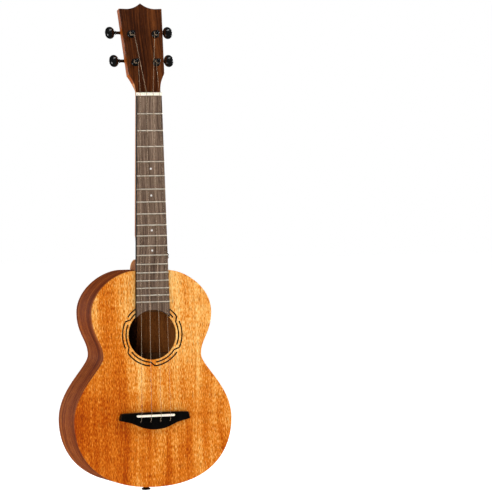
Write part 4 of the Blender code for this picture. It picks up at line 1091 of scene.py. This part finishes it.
PLATE_METAL = 0.001
POST_RADIUS = 0.003
POST_HEIGHT = 0.0115
GEAR_TEETH = 14
GEAR_PITCH, GEAR_TIP, GEAR_ROOT = 0.005, 0.0056, 0.0042
GEAR_HALF = 0.0012
WORM_PITCH, WORM_TIP, WORM_ROOT = 0.0024, 0.0029, 0.0016
WORM_RISE = GEAR_PITCH + WORM_PITCH
WORM_DEPTH = PLATE_METAL + WORM_TIP + GAP
WORM_CENTRE = -WORM_DEPTH - GAP
LUG_INSET, LUG_THICKNESS, LUG_RADIUS = 0.0070, 0.0022, 0.0038
SLEEVE_RADIUS, SLEEVE_LOW, SLEEVE_HIGH = 0.0021, 0.0086, 0.0158
BUTTON_OUT = 0.0240
BUTTON_SIZE = (0.0085, 0.0170, 0.0135)
PLATE_HALF = mm(
    (0, 20.4), (1, 18.8), (1.5, 17.2), (3.2, 16), (6.4, 13.9), (5.4, 12.8), (4.9, 12), (6.8, 11.7),
    (8.4, 11), (9, 9), (8.9, 5.8), (8.4, 3.6), (7.1, 1.8), (8, -1.2), (8.6, -3.6), (8.4, -5.6),
    (6.4, -6.4), (5, -7.8), (3.8, -9.4), (2.6, -11.2), (0, -13),
)
PLATE_SCREWS = (0.0147, -0.0094)


def tuner_places():
    """Where each post stands on the headstock's face, from the joints' own places."""
    places = {}
    for joint in frame["joints"]:
        if joint["name"].startswith("post_turn_"):
            local = HEAD.inverted() @ Vector(joint["pos_m"])
            places[joint["name"].removeprefix("post_turn_")] = (local.x, local.y)
    return places


TUNERS = tuner_places()


def add_screw(name, place, radius, height, look, *replaced, body=ROOT, shank=0.003):
    """A domed screw head with a slot; local Z points out of the head."""
    dome = [(radius * sin(a), height * (0.35 + 0.65 * cos(a))) for a in sweep(0, 90, 6)[1:]]
    core = radius * 0.45
    profile = [(0, height), *dome, (radius * 0.98, 0), (core, 0), (core, -shank), (0, -shank)]
    head = turned(profile, place, 28)
    low = (-radius * 1.2, -radius * 0.14, height * 0.45)
    high = (radius * 1.2, radius * 0.14, height * 2)
    slot = box_mesh(low, high, place @ spin(0.6 + place.translation.z * 40, "Z"))
    add(name, carve(head, slot), look, *replaced, body=body)


def add_plate(name, back):
    """The cast plate with its two bearing lugs and two fixing screws."""
    outline = rounded_corners(mirrored(PLATE_HALF), 0.0006, 3, radians(30))
    mesh = plate(outline, [circle(0, 0, 0.0034, 28)], -PLATE_METAL, 0, back, back=0.00035)
    add(f"cast_plate_{name}", mesh, "black", f"tuner_plate_{name}")
    side_view = [(WORM_RISE - LUG_RADIUS, -PLATE_METAL / 2)]
    side_view += [polar(LUG_RADIUS, angle, WORM_RISE, WORM_CENTRE) for angle in sweep(180, 360, 14)]
    side_view += [(WORM_RISE + LUG_RADIUS, -PLATE_METAL / 2)]
    for index, middle in enumerate((-LUG_INSET, LUG_INSET)):
        rings = []
        for x, shrink in ((-0.5, 0.00025), (-0.36, 0), (0.36, 0), (0.5, 0.00025)):
            rings.append([(middle + x * LUG_THICKNESS, y, z) for y, z in offset_loop(side_view, shrink)])
        place = back @ shift(0, WORM_RISE, WORM_CENTRE) @ spin(QUARTER, "Y")
        lug = carve(solid_loft(rings, back), rod(WORM_ROOT + 0.0001, -0.02, 0.02, place, 24))
        add(f"worm_lug_{name}_{index + 1}", lug, "black")
    for index, rise in enumerate(PLATE_SCREWS):
        place = back @ shift(0, rise, -PLATE_METAL) @ spin(pi, "X")
        add_screw(f"plate_screw_{name}_{index + 1}", place, 0.0016, 0.0008, "black")


def add_post(name, axis):
    """The bushing in the headstock's face, and the string post with its waist and hole."""
    flange = mm(
        (3.3, 1.6), (4, 1.6), (4.4, 1.5), (5, 1.1), (5.4, 0.7), (5.4, 0.1), (4.2, 0.1), (4.2, -6),
        (3.3, -6),
    )
    add(f"bushing_ring_{name}", turned(flange, axis, around=True), "black", f"bushing_{name}")
    shoulder = POST_HEIGHT - 0.0026
    crown = 0.0014
    dome = [(POST_RADIUS * sin(a), POST_HEIGHT - crown + crown * cos(a)) for a in sweep(0, 90, 8)[1:]]
    profile = [(0, POST_HEIGHT), *dome, (POST_RADIUS, shoulder)]
    for share in shares(6):
        fall = 0.5 - 0.5 * cos(pi * share)
        profile.append((POST_RADIUS - (POST_RADIUS - POST_WAIST_RADIUS) * fall, shoulder - 0.0014 * share))
    low = POST_WAIST_HEIGHT - 0.0012
    hub_end = GEAR_HALF - HEAD_THICKNESS - WORM_DEPTH
    profile += [(POST_WAIST_RADIUS, low), (POST_WAIST_RADIUS + 0.0004, low - 0.0007)]
    profile += [(POST_RADIUS, low - 0.0013), (POST_RADIUS, hub_end), (0, hub_end)]
    place = axis @ shift(0, 0, POST_WAIST_HEIGHT + 0.0009) @ spin(QUARTER, "Y")
    mesh = carve(turned(profile, axis), rod(0.00065, -0.006, 0.006, place, 16))
    add(f"post_barrel_{name}", mesh, "black", f"post_{name}", body=f"post_{name}_body")


def add_gear(name, back):
    """Toothed wheel with a raised boss, and the screw that holds it on the post."""
    body = f"post_{name}_body"
    loop = []
    rim = {GEAR_ROOT: 0.00062, GEAR_PITCH * 0.97: 0.00045, GEAR_TIP - 0.0001: 0.00024, GEAR_TIP: 0.00012}
    flank = [(radius, half / radius) for radius, half in rim.items()]
    for tooth in range(GEAR_TEETH):
        middle = QUARTER - tau / GEAR_TEETH * tooth
        loop += [polar(radius, middle + offset) for radius, offset in flank]
        loop += [polar(radius, middle - offset) for radius, offset in flank[::-1]]
    place = back @ shift(0, 0, WORM_CENTRE)
    mesh = plate(loop, [circle(0, 0, 0.0014, 24)], -GEAR_HALF, GEAR_HALF, place)
    add(f"worm_wheel_{name}", mesh, "brass", f"gear_{name}", body=body)
    foot, top = -GEAR_HALF - 0.00001, -GEAR_HALF - 0.0002
    boss = turned([(0.0026, foot), (0.0035, foot), (0.0034, top), (0.0027, top)], place, 36, around=True)
    add(f"wheel_boss_{name}", boss, "brass", body=body)
    seat = place @ shift(0, 0, top) @ spin(pi, "X")
    held = f"gear_screw_{name}"
    add_screw(f"wheel_screw_{name}", seat, 0.0028, 0.0014, "black", held, body=body, shank=0.0020)


def add_worm(name, side, back):
    """The worm on its shaft, and the button that turns it."""
    body = f"worm_{name}_body"
    axis = back @ shift(0, WORM_RISE, WORM_CENTRE) @ spin(QUARTER * side, "Y")
    profile = [
        (0, -0.0090), (WORM_ROOT - 0.0004, -0.0090), (WORM_ROOT, -0.0086), (WORM_ROOT, SLEEVE_LOW),
        (0.0026, SLEEVE_LOW), (0.0027, SLEEVE_LOW + 0.0003), (0.0027, SLEEVE_LOW + 0.0008),
        (SLEEVE_RADIUS, SLEEVE_LOW + 0.0014), (SLEEVE_RADIUS - 0.0001, SLEEVE_HIGH - 0.0014),
        (SLEEVE_RADIUS + 0.0003, SLEEVE_HIGH), (WORM_ROOT, SLEEVE_HIGH), (WORM_ROOT, 0.0176), (0, 0.0176),
    ]
    add(f"worm_rod_{name}", turned(profile, axis, 28), "black", f"worm_shaft_{name}", body=body)
    add(f"worm_thread_{name}", worm_thread(axis), "black", body=body)
    add(f"tuner_button_{name}", button_mesh(axis), "button", f"button_{name}", body=body)


def worm_thread(axis):
    """A right-handed screw thread whose turns straddle the wheel's facing tooth."""
    turns, steps = 4, 28
    pitch = tau * GEAR_PITCH / GEAR_TEETH
    foot = WORM_ROOT - 0.0002
    rings = []
    for step in range(turns * steps + 1):
        share = step / steps - turns / 2
        angle = tau * share + QUARTER
        fade = min(1.0, (turns / 2 - abs(share)) * 3)
        tip = WORM_ROOT + (WORM_TIP - WORM_ROOT) * fade
        shape = ((foot, -0.00042), (tip, -0.00018), (tip, 0.00018), (foot, 0.00042))
        rings.append([(*polar(radius, angle), pitch * share + height) for radius, height in shape])
    return solid_loft(rings, axis, 40)


def button_mesh(axis):
    """A full, flattened oval with a tapered neck and a small shoulder ring."""
    thick, wide, long = (size / 2 for size in BUTTON_SIZE)
    start = BUTTON_OUT - 0.0079
    neck = ((start, 0.0024), (start + 0.0002, 0.0027), (start + 0.0009, 0.0027), (start + 0.0011, 0.0024))
    rings = [[(*point, height) for point in circle(0, 0, radius, 48)] for height, radius in neck]
    square, least = 0.9, 0.00002
    around = [tuple(copysign(abs(c) ** square, c) for c in point) for point in circle(0, 0, 1, 48)]
    for angle in sweep(0, 180, 24)[1:]:
        height = BUTTON_OUT - long * cos(angle)
        if height >= start + 0.0014:
            swell = max(sin(angle), 0.0) ** square
            x_half, y_half = max(thick * swell, least), max(wide * swell, least)
            rings.append([(x * x_half, y * y_half, height) for x, y in around])
    return solid_loft(rings, axis, 60)


def add_tuners():
    for name, (x, rise) in TUNERS.items():
        axis = HEAD @ shift(x, rise)
        back = axis @ shift(0, 0, -HEAD_THICKNESS)
        add_plate(name, back)
        add_post(name, axis)
        add_gear(name, back)
        add_worm(name, copysign(1, x), back)


# ---- strap buttons

STRAP_PEGS = {
    "heel": mm(
        (0, 9), (3.2, 9), (3.7, 10.1), (4.6, 10.5), (5.7, 10.3), (6.6, 9.7), (7, 8.8), (6.8, 8),
        (5.9, 7.1), (4.6, 6.2), (3.8, 5), (3.6, 3.6), (3.9, 2.1), (4.8, 0.8), (5, 0), (0, 0),
    ),
    "tail": mm(
        (0, 5.6), (3, 5.6), (3.4, 6.6), (4.2, 7), (5.2, 6.8), (6, 6.2), (6.3, 5.5), (5.9, 4.7),
        (4.8, 4.1), (3.8, 3.4), (3.4, 2.5), (3.7, 1.2), (4.3, 0.4), (4.4, 0), (0, 0),
    ),
}


def add_strap_button(name, look, place):
    """A turned button held by a recessed slotted screw."""
    profile = STRAP_PEGS[name]
    add(f"strap_peg_{name}", turned(profile, place, 48), look, f"strap_button_{name}")
    add_screw(f"strap_screw_{name}", place @ shift(0, 0, profile[0][1]), 0.0027, 0.0010, look)


def aimed(place, direction):
    """A place whose Z points in a direction."""
    return shift(*place) @ direction.to_track_quat("Z", "Y").to_matrix().to_4x4()


def add_strap_buttons():
    """The heel's button stands out of the neck's treble side and the tail's out of the body."""
    angle, tilt = radians(24), radians(7)
    level = cos(tilt)
    out = Vector((level * cos(angle), level * sin(angle), sin(tilt)))
    add_strap_button("heel", "chrome", aimed((0.01725, 0.01142, BODY_TOP + 0.019), out))
    low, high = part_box("strap_button_tail")
    middle = (low + high) / 2
    # The tail's button takes the black plating, not the heel's chrome: painted shade, for the body's shadow that
    # it sits in.
    add_strap_button("tail", "black", shift(middle.x, middle.y, high.z) @ spin(pi, "X"))


# ---- inside


def finish_inner_wood():
    for part in frame["record"]["subparts"]:
        if part["material_slot"] == "inner_wood":
            for item in frame["nodes"][part["node"]].material_slots:
                item.material = LOOKS["inner"]


# ---- stage

VIEW_AZIMUTH = radians(-18)
VIEW_ELEVATION = radians(1.72)
VIEW_ROLL = radians(-0.98)
VIEW_DISTANCE = 3.94
VIEW_POINT = Vector((0, 0.020, -0.274))
FRAME_SHIFT = (0.136, 0.054)
SENSOR = 36.0
LENS = 211.3
FLOOR_DROP = 0.12
WHITE = (1.0, 1.0, 1.0, 1.0)


def add_camera():
    """A long lens from the photograph's side, with the instrument at the left of the frame."""
    sine, cosine = sin(VIEW_AZIMUTH), cos(VIEW_AZIMUTH)
    level = cos(VIEW_ELEVATION)
    back = Vector((sine * level, -cosine * level, sin(VIEW_ELEVATION)))
    right = Vector((cosine, sine, 0))
    up = back.cross(right)
    eye = VIEW_POINT + back * VIEW_DISTANCE
    aim = VIEW_POINT + right * FRAME_SHIFT[0] + up * FRAME_SHIFT[1]
    data = bpy.data.cameras.new("camera")
    data.sensor_width = SENSOR
    data.lens = LENS
    data.clip_end = 50
    camera = in_scene("camera", data)
    away = (eye - aim).normalized()
    side = (right - away * right.dot(away)).normalized()
    turn = Matrix((side, away.cross(side), away)).transposed().to_4x4()
    camera.matrix_world = shift(*eye) @ turn @ spin(VIEW_ROLL, "Z")
    bpy.context.scene.camera = camera


def add_floor():
    """A white paper sweep that glows faintly, so that it has no horizon."""
    work = bmesh.new()
    bmesh.ops.create_grid(work, x_segments=4, y_segments=4, size=20)
    mesh = bpy.data.meshes.new("floor")
    work.to_mesh(mesh)
    work.free()
    mesh.transform(shift(0, 0, CAD_BOX[0][2] - FLOOR_DROP))
    paper = shader("floor_paper", Base_Color=(0.9, 0.9, 0.9, 1.0), Roughness=1.0, Specular_IOR_Level=0.0)
    paper.set(paper.last, {"Emission_Color": WHITE, "Emission_Strength": 0.55})
    mesh.materials.append(paper.owner)
    floor = in_scene("floor", mesh)
    floor.visible_glossy = False


LIGHT_TARGET = Vector((0, 0.03, -0.25))


def add_light(name, place, size, energy, glossy=True, diffuse=True):
    """A rectangular light aimed at the middle of the instrument."""
    data = bpy.data.lights.new(name, "AREA")
    data.shape = "RECTANGLE"
    data.size, data.size_y = size
    data.energy = energy
    light = in_scene(name, data)
    light.matrix_world = aimed(place, Vector(place) - LIGHT_TARGET)
    light.visible_glossy = glossy
    light.visible_diffuse = diffuse


def add_lights():
    add_light("key_right", (1.7, -1.9, 2.2), (1.2, 1.2), 30, glossy=False)
    add_light("front_left", (-2.0, -2.6, -0.1), (1.0, 1.0), 26)
    add_light("high_strip", (0.75, -1.5, 1.9), (1.4, 0.35), 9)
    add_light("side_strip", (2.3, -0.5, 0.2), (0.3, 1.2), 7)
    add_light("back_left", (-1.6, 2.6, 0.2), (0.3, 1.8), 14)
    add_light("back_right", (2.6, 1.6, 0.2), (0.3, 1.8), 34)
    add_light("right_gleam", (2.6, 1.6, 0.2), (0.3, 1.8), 70, diffuse=False)
    sun = bpy.data.lights.new("ceiling", "SUN")
    sun.energy = 1.0
    sun.angle = radians(60)
    in_scene("ceiling", sun).visible_glossy = False


AMBIENT = 0.20
REFLECTED = 0.08


def set_world():
    """White to look at, a softer white as light, and dim in reflections, as between black flags."""
    world = bpy.data.worlds.new("studio")
    bpy.context.scene.world = world
    sky = Nodes(world, "Background", Color=WHITE)
    rays = sky.add("LightPath", {}).node.outputs
    level = sky.linear(rays["Is Camera Ray"], 1 - AMBIENT, AMBIENT)
    level = sky.linear(rays["Is Glossy Ray"], REFLECTED - AMBIENT, level)
    sky.set(sky.last, {"Strength": level})
    bpy.context.scene.view_settings.view_transform = "Standard"


# ---- all of it

add_camera()
set_world()
add_lights()
add_floor()
add_soundboard()
add_back()
add_ribs()
add_rosette()
add_bridge()
add_saddle()
add_nut()
add_fretboard()
add_neck()
add_headplate()
add_heel_cap()
add_strings()
add_tuners()
add_strap_buttons()
finish_inner_wood()
